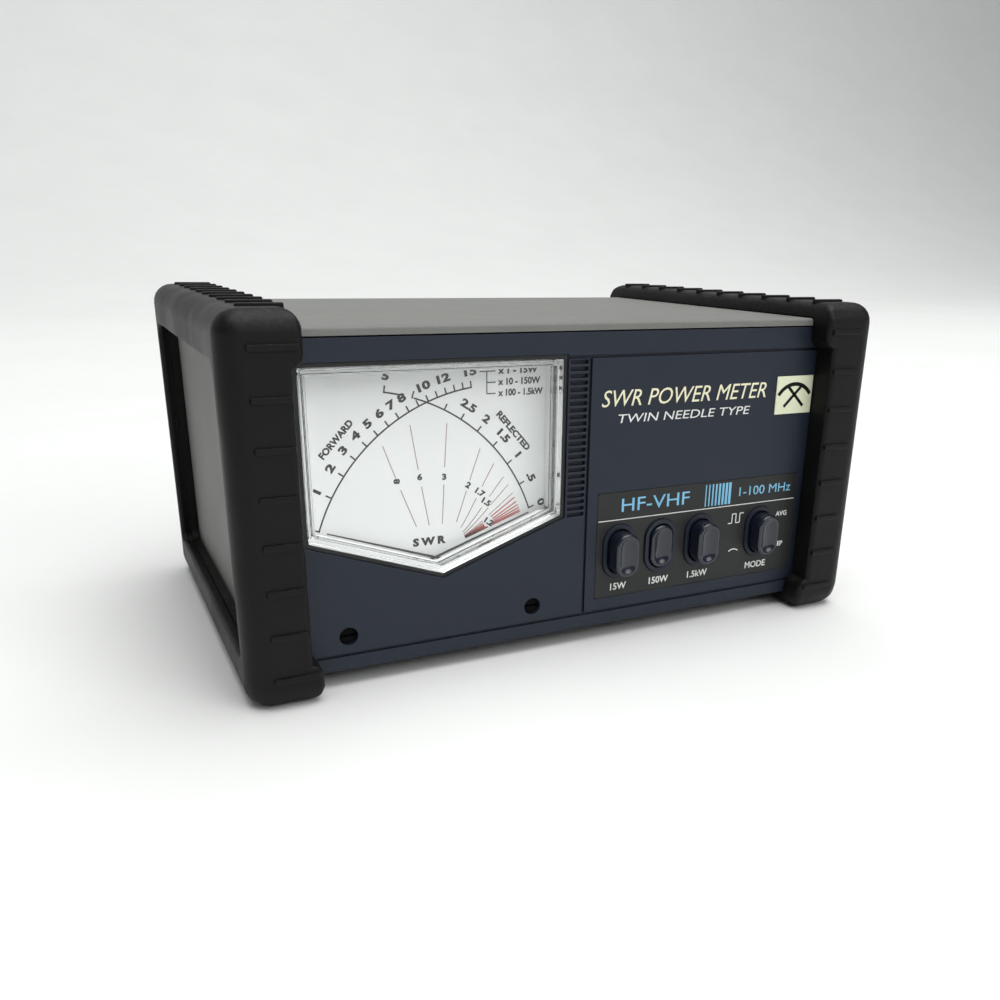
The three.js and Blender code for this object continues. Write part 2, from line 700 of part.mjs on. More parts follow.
function buildInsulator(side) {
  const radius = socketBore - 0.1;
  const hole = contactRadius + 0.1;
  const y0 = rearInner - 3;
  const y1 = y0 + insulatorLength;
  const ring = [[hole, y0], [radius, y0], [radius, y1], [hole, y1], [hole, y0]];
  return turned(ring, side * socketSpread, socketHeight, 24);
}

function buildContact(side) {
  const y0 = rearInner - 6;
  const end = rearY + socketLength - 1.5;
  const profile = [[0, y0], [contactRadius, y0], [contactRadius, end], [contactBore, end],
    [contactBore, end - 8], [0, end - 8]];
  return turned(profile, side * socketSpread, socketHeight, 16);
}

// Pan-head screw about Y, its head towards the back
function buildFlangeScrew(x, z) {
  const seat = rearY + 0.2 + flangeThick;
  const profile = [[0, rearInner - 4], [screwShank, rearInner - 4], [screwShank, seat],
    [screwHead, seat], [screwHead, seat + screwHeadHigh * 0.6], [screwHead * 0.7, seat + screwHeadHigh],
    [0, seat + screwHeadHigh]];
  const slot = box(x - screwHead, x + screwHead, seat + screwHeadHigh * 0.5, seat + screwHeadHigh + 1,
    z - 0.35, z + 0.35);
  return turned(profile, x, z, 8).subtract(slot);
}

function buildCoverScrew({ side, y }) {
  const seat = caseHalf + 0.1;
  const tip = seat - 2 * sheet - 2 * fitGap;
  const profile = [[0, tip], [screwShank, tip], [screwShank, seat], [screwHead, seat],
    [screwHead, seat + screwHeadHigh * 0.5], [screwHead * 0.6, seat + screwHeadHigh * 0.9],
    [0, seat + screwHeadHigh * 0.9]];
  const points = profile.map(([radius, along]) => new THREE.Vector2(radius, along));
  const geometry = new THREE.LatheGeometry(points, 10).rotateZ(-side * Math.PI / 2);
  return solid(geometry.translate(0, y, coverScrewHeight));
}

function buildJack() {
  const back = rearY + 2.4;
  const front = rearInner - 8;
  const profile = [[0, front], [jackRadius, front], [jackRadius, rearY + 0.1],
    [jackRadius + 1.6, rearY + 0.1], [jackRadius + 1.6, back], [2.8, back], [2.8, front + 1],
    [1, front + 1], [1, back - 1], [0, back - 1]];
  return turned(profile, jackX, jackHeight, 20);
}

function buildCouplerBox() {
  const y1 = rearInner - fitGap;
  const y0 = y1 - boxDepth;
  const z1 = boxFloor + boxHeight;
  const w = boxWall;
  return box(-boxHalf, boxHalf, y0, y1, boxFloor, z1)
    .subtract(box(-boxHalf + w, boxHalf - w, y0 + w, y1 + 1, boxFloor + w, z1 + 1));
}

function buildCouplerLid() {
  const y1 = rearInner - fitGap;
  const z = boxFloor + boxHeight + 0.1;
  return box(-boxHalf, boxHalf, y1 - boxDepth, y1, z, z + boxWall);
}

function buildCouplerBoard() {
  const y1 = rearInner - 4;
  return box(-boxHalf + 4, boxHalf - 4, y1 - boxDepth + 6, y1, boxFloor + 3, boxFloor + 3 + boardThick);
}

function buildCouplerLine() {
  const y = rearInner - lineSetback;
  const ends = [-1, 1].map((side) => rod(lineRadius, side * socketSpread, socketHeight,
    y - lineRadius * 0.8, rearInner - 6 - fitGap, 12));
  return join([crossRod(lineRadius, -socketSpread - 1, socketSpread + 1, y, socketHeight), ...ends]);
}

function buildToroid() {
  const half = toroidWidth / 2;
  const bore = lineRadius + 0.8;
  const ring = [[bore, -half], [toroidRadius, -half], [toroidRadius, half], [bore, half], [bore, -half]];
  const points = ring.map(([radius, along]) => new THREE.Vector2(radius, along));
  const geometry = new THREE.LatheGeometry(points, 24).rotateZ(-Math.PI / 2);
  return solid(geometry.translate(0, rearInner - lineSetback, socketHeight));
}

function buildLamp() {
  const y0 = dialY + dialThick + 3;
  const profile = [[0, y0], [1.6, y0 + 0.5], [2.2, y0 + 2], [2.2, y0 + 7], [2.6, y0 + 7],
    [2.6, y0 + 11], [0, y0 + 11]];
  return turned(profile, meterX, glassTop - 6, 16);
}

const rightBumper = buildBumper();
place('bumper_right', 'bumperRubber', rightBumper);
place('bumper_left', 'bumperRubber', mirrorX(rightBumper));
place('top_cover', 'coverPaint', buildCover());
place('chassis', 'chassisPaint', buildChassis());
place('front_bezel', 'bezelPlastic', buildBezel());
place('control_label', 'labelFilm', buildLabel());
place('emblem_plate', 'emblemPlate', buildEmblem());
place('meter_window', 'clearPlastic', buildWindow());
place('meter_housing', 'housingPlastic', buildHousing());
place('dial_plate', 'dialCard', buildDial());
place('meter_lamp', 'lampGlass', buildLamp());
buildMovements();
for (const spot of adjusterPlaces()) {
  place(spot.name, 'switchPlastic', buildAdjuster(spot.x));
}
for (const spot of buttonPlaces()) {
  place(spot.name, 'buttonPlastic', buildButton(spot));
  place(spot.stem, 'switchPlastic', buildSwitchBody(spot));
}
place('switch_bracket', 'plated', buildBracket());
place('main_board', 'boardLaminate', buildBoard());
for (const [word, side] of [['transmitter', -1], ['antenna', 1]]) {
  place(`${word}_socket_shell`, 'plated', buildSocket(side));
  place(`${word}_socket_insulator`, 'insulatorWhite', buildInsulator(side));
  place(`${word}_socket_contact`, 'contactBrass', buildContact(side));
  flangeCorners().forEach(([dx, dz], n) => {
    place(`${word}_socket_screw_${n + 1}`, 'plated',
      buildFlangeScrew(side * socketSpread + dx, socketHeight + dz));
  });
}
place('lamp_supply_jack', 'switchPlastic', buildJack());
place('coupler_box', 'plated', buildCouplerBox());
place('coupler_lid', 'plated', buildCouplerLid());
place('coupler_board', 'boardLaminate', buildCouplerBoard());
place('coupler_line', 'contactBrass', buildCouplerLine());
place('coupler_toroid', 'ferrite', buildToroid());
for (const screw of coverScrews()) {
  place(screw.name, 'plated', buildCoverScrew(screw));
}

// The origin is the middle of the object's box, on the resting plane
const frontMost = -ribProud;
const rearMost = rearY + socketLength;
instrument.position.y = -(frontMost + rearMost) / 2;

export default instrument;
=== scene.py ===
# Bench SWR and power meter, dressed round its CAD frame: rubber bumpers, folded cover,
# moulded front, twin-needle dial, push switches and rear sockets.
import json
import math

import bmesh
import bpy
from mathutils import Euler, Matrix, Vector


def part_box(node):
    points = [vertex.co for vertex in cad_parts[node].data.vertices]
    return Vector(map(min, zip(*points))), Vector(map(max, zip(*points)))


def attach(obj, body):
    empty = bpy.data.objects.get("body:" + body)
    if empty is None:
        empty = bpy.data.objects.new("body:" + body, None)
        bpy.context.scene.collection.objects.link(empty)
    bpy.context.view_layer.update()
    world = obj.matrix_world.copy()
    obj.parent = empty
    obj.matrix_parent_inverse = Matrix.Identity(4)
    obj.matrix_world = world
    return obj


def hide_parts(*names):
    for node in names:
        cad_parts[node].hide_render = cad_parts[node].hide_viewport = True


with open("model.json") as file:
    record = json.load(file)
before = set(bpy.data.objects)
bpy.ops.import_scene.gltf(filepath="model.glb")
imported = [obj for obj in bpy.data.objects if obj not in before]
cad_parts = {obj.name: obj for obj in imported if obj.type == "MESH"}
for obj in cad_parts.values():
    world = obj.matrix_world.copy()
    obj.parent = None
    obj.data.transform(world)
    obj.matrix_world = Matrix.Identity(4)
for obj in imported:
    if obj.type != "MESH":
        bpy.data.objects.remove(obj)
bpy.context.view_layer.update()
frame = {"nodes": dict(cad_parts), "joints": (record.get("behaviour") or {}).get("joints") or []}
mm = 0.001
print("frame loaded:", len(frame["nodes"]), "nodes")

# Places that several pieces share, all taken from the frame
coverLow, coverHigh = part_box("top_cover")
caseHalf, caseTop, caseFoot = coverHigh.x, coverHigh.z, coverLow.z
panelY, rearY = coverLow.y, coverHigh.y
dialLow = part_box("dial_plate")[0]
glassLow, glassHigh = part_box("meter_window")
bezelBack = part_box("front_bezel")[1].y
meterX = (glassLow.x + glassHigh.x) / 2
turnsAt = {joint["name"]: Vector(joint["pos_m"]) for joint in frame["joints"] if "pos_m" in joint}
pivots = {word: turnsAt[word + "_pointer_swing"] for word in ("forward", "reflected")}


# Camera, light and floor

cameraLook = {
    "eye": (-0.10842, -0.24333, 0.09494),
    "azimuth": 0.484, "tilt": 0.345, "roll": 0.023,  # radians
    "lens": 33.59, "shift": (-0.0514, 0.082),
}


def placeCamera(look):
    data = bpy.data.cameras.new("front_camera")
    data.lens = look["lens"]
    data.sensor_width = 36
    data.shift_x, data.shift_y = look["shift"]
    data.clip_start = 0.01
    camera = bpy.data.objects.new("front_camera", data)
    bpy.context.collection.objects.link(camera)
    aim = Euler((math.pi / 2 - look["tilt"], 0, -look["azimuth"])).to_matrix()
    turn = aim @ Matrix.Rotation(look["roll"], 3, "Z")
    camera.matrix_world = Matrix.Translation(look["eye"]) @ turn.to_4x4()
    bpy.context.scene.camera = camera


placeCamera(cameraLook)


def toLinear(colour):  # 0..255 screen values to the numbers that shaders take
    def one(c):
        c = c / 255
        return c / 12.92 if c <= 0.04045 else ((c + 0.055) / 1.055) ** 2.4
    return (*[one(c) for c in colour], 1)


# Small helpers, all working as a hand on the mouse would

def pickNothing():
    held = bpy.context.view_layer.objects.active
    if held and held.mode != "OBJECT":
        bpy.ops.object.mode_set(mode="OBJECT")
    bpy.ops.object.select_all(action="DESELECT")


def takeHold(piece):
    pickNothing()
    piece.select_set(True)
    bpy.context.view_layer.objects.active = piece


def fixPlace(piece):
    takeHold(piece)
    bpy.ops.object.transform_apply(location=True, rotation=True, scale=True)
    return piece


def newBlock(name, low, high):
    pickNothing()
    middle = [(a + b) / 2 for a, b in zip(low, high)]
    bpy.ops.mesh.primitive_cube_add(size=1, location=middle)
    block = bpy.context.object
    block.name = name
    block.scale = [b - a for a, b in zip(low, high)]
    return fixPlace(block)


def newRod(name, radius, start, end, sides=48):
    pickNothing()
    start, end = Vector(start), Vector(end)
    bpy.ops.mesh.primitive_cone_add(
        vertices=sides, radius1=radius, radius2=radius, depth=(end - start).length,
        location=(start + end) / 2, rotation=(end - start).to_track_quat("Z", "Y").to_euler())
    rod = bpy.context.object
    rod.name = name
    return fixPlace(rod)


def choose(piece, kind, wanted):  # leaves the piece in edit mode with those parts selected
    takeHold(piece)
    bpy.ops.object.mode_set(mode="EDIT")
    bpy.ops.mesh.select_mode(type=kind)
    bpy.ops.mesh.select_all(action="DESELECT")
    shape = bmesh.from_edit_mesh(piece.data)
    for part in {"VERT": shape.verts, "EDGE": shape.edges, "FACE": shape.faces}[kind]:
        if wanted(part):
            part.select_set(True)
    shape.select_flush_mode()
    bmesh.update_edit_mesh(piece.data)


def near(a, b):
    return abs(a - b) < 0.02 * mm


def middleOf(edge):
    return (edge.verts[0].co + edge.verts[1].co) / 2


def alongOf(edge):
    return (edge.verts[1].co - edge.verts[0].co).normalized()


def runsAlongY(edge):
    return abs(alongOf(edge).y) > 0.9


def liesAt(y):  # a test for the edges that lie in that plane
    return lambda edge: all(near(corner.co.y, y) for corner in edge.verts)


def middleXZ(low, high):
    return (low.x + high.x) / 2, (low.z + high.z) / 2


def done():
    bpy.ops.object.mode_set(mode="OBJECT")


def bevelEdges(piece, wanted, offset, segments):
    choose(piece, "EDGE", wanted)
    bpy.ops.mesh.bevel(offset=offset, segments=segments)
    done()


def useModifier(piece, kind, **settings):
    takeHold(piece)
    modifier = piece.modifiers.new(kind.lower(), kind)
    for key, value in settings.items():
        setattr(modifier, key, value)
    bpy.ops.object.modifier_apply(modifier=modifier.name)


def soften(piece, width, segments=2, angle=40):
    useModifier(piece, "BEVEL", width=width, segments=segments, limit_method="ANGLE",
                angle_limit=math.radians(angle), use_clamp_overlap=False)


def joinAll(name, parts):
    takeHold(parts[0])
    for part in parts:
        part.select_set(True)
    if len(parts) > 1:
        bpy.ops.object.join()
    whole = bpy.context.object
    whole.name = name
    return whole


def cutAway(piece, tools):
    tool = joinAll("tool", tools)
    useModifier(piece, "BOOLEAN", operation="DIFFERENCE", solver="EXACT", use_self=True, object=tool)
    bpy.data.objects.remove(tool, do_unlink=True)


def unite(piece, tool):
    useModifier(piece, "BOOLEAN", operation="UNION", solver="EXACT", object=tool)
    bpy.data.objects.remove(tool, do_unlink=True)


def repeatPiece(piece, count, step):
    useModifier(piece, "ARRAY", count=count, use_relative_offset=False, use_constant_offset=True,
                constant_offset_displace=step)


def copyOf(piece, name):
    copied = piece.copy()
    copied.data = piece.data.copy()
    copied.name = name
    bpy.context.collection.objects.link(copied)
    return copied


def shadeSoft(piece, angle=32):
    takeHold(piece)
    bpy.ops.object.shade_smooth_by_angle(angle=math.radians(angle))
    useModifier(piece, "WEIGHTED_NORMAL", keep_sharp=True)


def settle(piece, body, finish, slotName, *replaced):
    piece.data.materials.clear()
    piece.data.materials.append(finish)
    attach(piece, body)
    if replaced:
        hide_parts(*replaced)


# Shader groups that several finishes share

def startGroup(name, inputs, outputs):  # each takes a place, then numbers
    group = bpy.data.node_groups.new(name, "ShaderNodeTree")
    group.interface.new_socket("Vector", in_out="INPUT", socket_type="NodeSocketVector")
    for label in inputs:
        group.interface.new_socket(label, in_out="INPUT", socket_type="NodeSocketFloat")
    for label in outputs:
        group.interface.new_socket(label, in_out="OUTPUT", socket_type="NodeSocketFloat")
    return group, group.nodes.new("NodeGroupInput"), group.nodes.new("NodeGroupOutput")


def addNode(tree, kind, wires=None, **settings):
    node = tree.nodes.new(kind)
    for key, value in settings.items():
        setattr(node, key, value)
    for socket, source in (wires or {}).items():
        if isinstance(source, bpy.types.NodeSocket):
            tree.links.new(source, node.inputs[socket])
        else:
            node.inputs[socket].default_value = source
    return node


def noise(tree, place, scale, detail, rough=0.5):
    wires = {"Vector": place, "Scale": scale, "Detail": detail, "Roughness": rough}
    return addNode(tree, "ShaderNodeTexNoise", wires).outputs[0]


def spread(tree, value, low, high):  # stretches what lies between low and high over 0 to 1
    wires = {"Value": value, "From Min": low, "From Max": high}
    return addNode(tree, "ShaderNodeMapRange", wires).outputs[0]


def combine(tree, operation, first, second, clamped=False):
    node = addNode(tree, "ShaderNodeMath", {0: first, 1: second}, operation=operation, use_clamp=clamped)
    return node.outputs[0]


def makeGrainGroup():  # spark-eroded mould texture, also used for powder paint
    group, start, end = startGroup("mouldGrain", ["Scale"], ["Height", "Mottle"])
    place, scale = start.outputs[0], start.outputs[1]
    pits = addNode(group, "ShaderNodeTexVoronoi", {"Vector": place, "Scale": scale}, feature="SMOOTH_F1")
    height = combine(group, "ADD", noise(group, place, scale, 3.0, 0.6), pits.outputs[0])
    broad = combine(group, "MULTIPLY", scale, 0.02)
    group.links.new(height, end.inputs[0])
    group.links.new(spread(group, noise(group, place, broad, 5.0, 0.65), 0.35, 0.65), end.inputs[1])
    return group


def makeBrushGroup():  # fine lines left by a brush or a lathe tool
    group, start, end = startGroup("brushMarks", ["Scale"], ["Height", "Mottle"])
    place, scale = start.outputs[0], start.outputs[1]
    stretch = addNode(group, "ShaderNodeMapping", {"Vector": place, "Scale": (0.06, 1.0, 1.0)})
    group.links.new(noise(group, stretch.outputs[0], scale, 2.0), end.inputs[0])
    group.links.new(spread(group, noise(group, place, 140.0, 6.0, 0.7), 0.35, 0.7), end.inputs[1])
    return group


def makeWearGroup():  # where an edge is rubbed: the rounded normal leaves the true one
    group, start, end = startGroup("edgeWear", ["Radius", "Amount"], ["Mask"])
    soft = addNode(group, "ShaderNodeBevel", {"Radius": start.outputs[1]}, samples=4)
    normal = addNode(group, "ShaderNodeNewGeometry").outputs["Normal"]
    same = addNode(group, "ShaderNodeVectorMath", {0: soft.outputs[0], 1: normal}, operation="DOT_PRODUCT")
    edge = spread(group, same.outputs["Value"], 0.98, 0.75)
    chips = spread(group, noise(group, start.outputs[0], 420.0, 4.0), 0.42, 0.6)
    rubbed = combine(group, "MULTIPLY", edge, chips)
    group.links.new(combine(group, "MULTIPLY", rubbed, start.outputs[2], True), end.inputs[0])
    return group


def makeDustGroup():  # light dust that settles on what faces up
    group, start, end = startGroup("dustFilm", ["Amount"], ["Mask"])
    normal = addNode(group, "ShaderNodeNewGeometry").outputs["Normal"]
    parts = addNode(group, "ShaderNodeSeparateXYZ", {0: normal})
    upward = spread(group, parts.outputs[2], 0.1, 0.95)
    specks = spread(group, noise(group, start.outputs[0], 900.0, 5.0, 0.75), 0.48, 0.72)
    both = combine(group, "MULTIPLY", upward, specks)
    group.links.new(combine(group, "MULTIPLY", both, start.outputs[1], True), end.inputs[0])
    return group


groups = {
    "grain": makeGrainGroup(), "brush": makeBrushGroup(), "wear": makeWearGroup(), "dust": makeDustGroup(),
}


def addGroup(tree, name, **values):
    node = tree.nodes.new("ShaderNodeGroup")
    node.node_tree = groups[name]
    for label, value in values.items():
        if isinstance(value, bpy.types.NodeSocket):
            tree.links.new(value, node.inputs[label])
        else:
            node.inputs[label].default_value = value
    return node


def mixColour(tree, mask, first, second):
    mix = addNode(tree, "ShaderNodeMix", data_type="RGBA")
    tree.links.new(mask, mix.inputs["Factor"])
    for socket, colour in ((mix.inputs[6], first), (mix.inputs[7], second)):
        if isinstance(colour, bpy.types.NodeSocket):
            tree.links.new(colour, socket)
        else:
            socket.default_value = colour
    return mix.outputs[2]


dustColour = (186, 182, 172)


def makeFinish(name, look):
    material = bpy.data.materials.new(name)
    material.use_nodes = True
    tree = material.node_tree
    shader = tree.nodes["Principled BSDF"]
    place = addNode(tree, "ShaderNodeTexCoord").outputs["Object"]
    grain = addGroup(tree, look.get("texture", "grain"), Vector=place, Scale=look["scale"])
    colour = mixColour(tree, grain.outputs["Mottle"], toLinear(look["colour"]), toLinear(look["second"]))
    if look.get("wear"):
        worn = addGroup(tree, "wear", Vector=place, Radius=look["wearReach"] * mm, Amount=look["wear"])
        colour = mixColour(tree, worn.outputs[0], colour, toLinear(look["wearColour"]))
    if look.get("dust"):
        dusty = addGroup(tree, "dust", Vector=place, Amount=look["dust"])
        colour = mixColour(tree, dusty.outputs[0], colour, toLinear(dustColour))
    tree.links.new(colour, shader.inputs["Base Color"])
    matt = {"Value": grain.outputs["Mottle"], "To Min": look["rough"][0], "To Max": look["rough"][1]}
    tree.links.new(addNode(tree, "ShaderNodeMapRange", matt).outputs[0], shader.inputs["Roughness"])
    height = {"Height": grain.outputs["Height"], "Strength": look["bump"], "Distance": look["depth"] * mm}
    bump = addNode(tree, "ShaderNodeBump", height)
    tree.links.new(bump.outputs[0], shader.inputs["Normal"])
    shader.inputs["Metallic"].default_value = look.get("metal", 0)
    shader.inputs["Specular IOR Level"].default_value = look.get("gloss", 0.5)
    shader.inputs["Coat Weight"].default_value = look.get("coat", 0)
    shader.inputs["Coat Roughness"].default_value = 0.2
    return material


def inkLook(colour, second, rough=(0.4, 0.5)):
    return {"colour": colour, "second": second, "scale": 3200, "bump": 0.1, "depth": 0.01, "rough": rough}


def metalLook(colour, second, rough, bump=0.15):
    return {"texture": "brush", "colour": colour, "second": second, "scale": 3000, "bump": bump,
            "depth": 0.02, "rough": rough, "metal": 1}


finishLooks = {
    "rubber": {"colour": (10, 10, 10), "second": (13, 13, 12), "scale": 2600, "bump": 0.2, "depth": 0.04,
               "rough": (0.44, 0.56), "gloss": 0.22, "dust": 0.06, "wear": 0.2, "wearReach": 0.5,
               "wearColour": (52, 51, 48)},
    "coverPaint": {"colour": (116, 117, 113), "second": (124, 125, 121), "scale": 2200, "bump": 0.3,
                   "depth": 0.03, "rough": (0.5, 0.62), "gloss": 0.3, "dust": 0.15, "wear": 0.5,
                   "wearReach": 0.35, "wearColour": (146, 146, 141)},
    "chassisPaint": {"colour": (56, 59, 62), "second": (64, 66, 68), "scale": 2200, "bump": 0.3,
                     "depth": 0.03, "rough": (0.45, 0.6), "wear": 0.6, "wearReach": 0.3,
                     "wearColour": (128, 128, 124)},
    "panelPlastic": {"colour": (27, 34, 47), "second": (31, 38, 52), "scale": 2400, "bump": 0.25,
                     "depth": 0.03, "rough": (0.42, 0.54), "gloss": 0.35, "dust": 0.06, "wear": 0.25,
                     "wearReach": 0.3, "wearColour": (66, 72, 88)},
    "labelFilm": {"colour": (33, 35, 34), "second": (38, 40, 39), "scale": 1800, "bump": 0.1, "depth": 0.02,
                  "rough": (0.38, 0.5), "gloss": 0.35},
    "badgePlate": {"colour": (224, 229, 196), "second": (232, 236, 206), "scale": 1500, "bump": 0.1,
                   "depth": 0.02, "rough": (0.35, 0.45)},
    "blackPlastic": {"colour": (22, 23, 24), "second": (30, 31, 32), "scale": 2400, "bump": 0.25,
                     "depth": 0.03, "rough": (0.45, 0.62)},
    "buttonPlastic": {"colour": (18, 24, 38), "second": (22, 28, 43), "scale": 2600, "bump": 0.06,
                      "depth": 0.02, "rough": (0.16, 0.26), "coat": 0.4, "wear": 0.4, "wearReach": 0.3,
                      "wearColour": (84, 92, 112)},
    "dialCard": {"colour": (246, 247, 247), "second": (250, 250, 250), "scale": 3000, "bump": 0.08,
                 "depth": 0.02, "rough": (0.55, 0.65)},
    "needlePaint": {"colour": (14, 14, 15), "second": (24, 24, 26), "scale": 2400, "bump": 0.1,
                    "depth": 0.02, "rough": (0.35, 0.5)},
    "blackInk": {**inkLook((7, 7, 8), (14, 14, 15), (0.6, 0.7)), "gloss": 0.2},
    # near-black, darker than the black plastic, for the zero adjusters: painted shade of their bores
    "holeShadeBlack": {"colour": (6, 6, 7), "second": (10, 10, 11), "scale": 2400, "bump": 0.1, "depth": 0.02,
                 "rough": (0.7, 0.8), "gloss": 0.1},
    "redInk": inkLook((176, 74, 66), (190, 92, 84), (0.5, 0.6)),
    "greyInk": inkLook((150, 118, 118), (166, 136, 134), (0.5, 0.6)),
    "creamInk": inkLook((238, 233, 198), (244, 240, 210)),
    "whiteInk": inkLook((226, 228, 224), (236, 237, 234)),
    "blueInk": inkLook((122, 192, 228), (136, 200, 234)),
    "nickel": {**metalLook((176, 176, 172), (148, 147, 142), (0.24, 0.42)), "wear": 0.4, "wearReach": 0.25,
               "wearColour": (206, 205, 200)},
    "brass": metalLook((188, 156, 92), (154, 120, 64), (0.26, 0.45)),
    "steel": metalLook((120, 122, 124), (92, 93, 95), (0.32, 0.5), 0.2),
    "copperWire": {"texture": "brush", "colour": (184, 104, 54), "second": (150, 78, 38), "scale": 5200,
                   "bump": 0.5, "depth": 0.08, "rough": (0.28, 0.42), "metal": 1},
    "whitePlastic": {"colour": (226, 223, 210), "second": (234, 232, 222), "scale": 2000, "bump": 0.1,
                     "depth": 0.02, "rough": (0.4, 0.5)},
    "laminate": {"colour": (52, 84, 48), "second": (74, 108, 62), "scale": 1800, "bump": 0.25,
                 "depth": 0.03, "rough": (0.35, 0.5), "coat": 0.3},
    "ferrite": {"colour": (44, 42, 43), "second": (58, 56, 56), "scale": 1500, "bump": 0.5, "depth": 0.05,
                "rough": (0.55, 0.75)},
    "lampGlass": {"colour": (240, 228, 190), "second": (248, 238, 208), "scale": 900, "bump": 0.05,
                  "depth": 0.01, "rough": (0.12, 0.2), "coat": 0.5},
}
finishes = {name: makeFinish(name, look) for name, look in finishLooks.items()}


def makeClearPlastic():
    material = bpy.data.materials.new("clearPlastic")
    material.use_nodes = True
    tree = material.node_tree
    shader = tree.nodes["Principled BSDF"]
    place = addNode(tree, "ShaderNodeTexCoord").outputs["Object"]
    haze = combine(tree, "MULTIPLY", spread(tree, noise(tree, place, 60.0, 4.0), 0.4, 0.75), 0.03)
    tree.links.new(haze, shader.inputs["Roughness"])
    shader.inputs["Base Color"].default_value = (0.97, 0.985, 0.98, 1)
    shader.inputs["Transmission Weight"].default_value = 1
    shader.inputs["IOR"].default_value = 1.49
    path = addNode(tree, "ShaderNodeLightPath")
    plain = addNode(tree, "ShaderNodeBsdfTransparent", {"Color": (0.98, 0.985, 0.985, 1)})
    mix = addNode(tree, "ShaderNodeMixShader", {0: path.outputs["Is Shadow Ray"], 1: shader.outputs[0],
                                               2: plain.outputs[0]})
    tree.links.new(mix.outputs[0], tree.nodes["Material Output"].inputs["Surface"])
    return material


finishes["clearPlastic"] = makeClearPlastic()
print("finishes made:", len(finishes))


# Rubber bumpers

bumperLook = {
    "ribProud": 0.6, "ribWidth": 1.4, "ribRound": 0.35, "frontRibs": 8, "frontPitch": 9.83,
    "topRibs": 10, "topPitch": 10.3, "ribInset": 5.4, "ribSunk": 1.6, "ribStart": 1.2, "ribGap": 0.4,
    "topRibStart": 1.5,
    "wall": 0.3, "bar": 7, "rail": 10.5, "hold": 8.9, "gussetLow": 9.2, "gussetHigh": 71.7,
    "outerRound": 5, "topRound": 3.5, "noseRound": 1.4, "gussetRound": 3, "windowRound": 1,
    "windowCorner": 3, "channel": 1.1, "channelFrom": 2.2, "channelTo": 3.8,
    "screwHollow": 2.9, "screwRoom": 0.4, "segments": 6,
}


def buildBumper(look):
    low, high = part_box("bumper_right")
    proud = look["ribProud"] * mm
    inner, outer = low.x, high.x
    front, back, top = low.y + proud, high.y - proud, high.z - proud
    wall = look["wall"] * mm
    body = newBlock("rubber_bumper_right", (inner, front, 0), (outer, back, top))
    pocket = newBlock("pocket", (inner - wall, panelY - wall, caseFoot - wall),
                      (caseHalf + wall, rearY + wall, caseTop + wall))
    bar, rail = look["bar"] * mm, look["rail"] * mm
    deep = look["channel"] * mm
    opening = newBlock("opening", (caseHalf, front + bar, rail), (outer + wall, back - bar, top - rail))
    channel = newBlock("channel", (caseHalf + look["channelFrom"] * mm, front + bar - deep, rail - deep),
                       (caseHalf + look["channelTo"] * mm, back - bar + deep, top - rail + deep))
    for shape in (opening, channel):
        bevelEdges(shape, lambda e: abs(alongOf(e).x) > 0.9, look["windowCorner"] * mm, 5)
    screws = []
    for end in ("front", "rear"):
        low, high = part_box("cover_screw_right_" + end)
        middle = (low + high) / 2
        screws.append(newRod("screw_hollow", look["screwHollow"] * mm, (caseHalf, middle.y, middle.z),
                             (high.x + look["screwRoom"] * mm, middle.y, middle.z), 24))
    holdX = caseHalf - look["hold"] * mm
    gussetLow, gussetHigh = look["gussetLow"] * mm, look["gussetHigh"] * mm
    cuts = [pocket, opening, channel] + screws
    for y0, y1 in ((front - wall, panelY), (rearY, back + wall)):
        cuts.append(newBlock("gap", (inner - wall, y0, gussetLow), (holdX, y1, gussetHigh)))
    cutAway(body, cuts)

    def roundOf(edge):
        at, way = middleOf(edge), alongOf(edge)
        faceY = near(at.y, front) or near(at.y, back)
        flatZ = near(at.z, 0) or near(at.z, top)
        if faceY and flatZ and abs(way.x) > 0.9:
            return look["outerRound"]
        if near(at.x, outer):
            return look["outerRound"] if faceY or flatZ else look["windowRound"]
        if near(at.x, inner) and flatZ:
            return look["topRound"]
        if faceY and abs(way.z) > 0.9:
            return look["noseRound"]
        if faceY:
            return look["noseRound"] * 0.7
        if near(at.x, inner) and abs(way.y) > 0.9 and (near(at.z, gussetLow) or near(at.z, gussetHigh)):
            return look["gussetRound"]
        return 0

    choose(body, "EDGE", lambda e: False)
    shape = bmesh.from_edit_mesh(body.data)
    weight = shape.edges.layers.float.new("bevel_weight_edge")
    for edge in shape.edges:
        edge[weight] = roundOf(edge) / look["outerRound"]
    bmesh.update_edit_mesh(body.data)
    done()
    useModifier(body, "BEVEL", width=look["outerRound"] * mm, segments=look["segments"],
                limit_method="WEIGHT", use_clamp_overlap=False, miter_outer="MITER_ARC")
    ribs = []
    half, sunk = look["ribWidth"] * mm / 2, look["ribSunk"] * mm
    ribOuter = outer - look["ribInset"] * mm
    for i in range(look["frontRibs"]):
        z = top / 2 + (i - (look["frontRibs"] - 1) / 2) * look["frontPitch"] * mm
        end = i in (0, look["frontRibs"] - 1)
        start = inner + look["ribStart"] * mm if end else holdX + look["ribGap"] * mm
        ribs.append(newBlock("rib", (start, front - proud, z - half), (ribOuter, front + sunk, z + half)))
        ribs.append(newBlock("rib", (start, back - sunk, z - half), (ribOuter, back + proud, z + half)))
    for i in range(look["topRibs"]):
        y = (front + back) / 2 + (i - (look["topRibs"] - 1) / 2) * look["topPitch"] * mm
        ribs.append(newBlock("rib", (inner + look["topRibStart"] * mm, y - half, top - sunk),
                             (ribOuter, y + half, top + proud)))
    rib = joinAll("ribs", ribs)
    soften(rib, look["ribRound"] * mm, 2)
    bumper = joinAll("rubber_bumper_right", [body, rib])
    shadeSoft(bumper, 40)
    return bumper


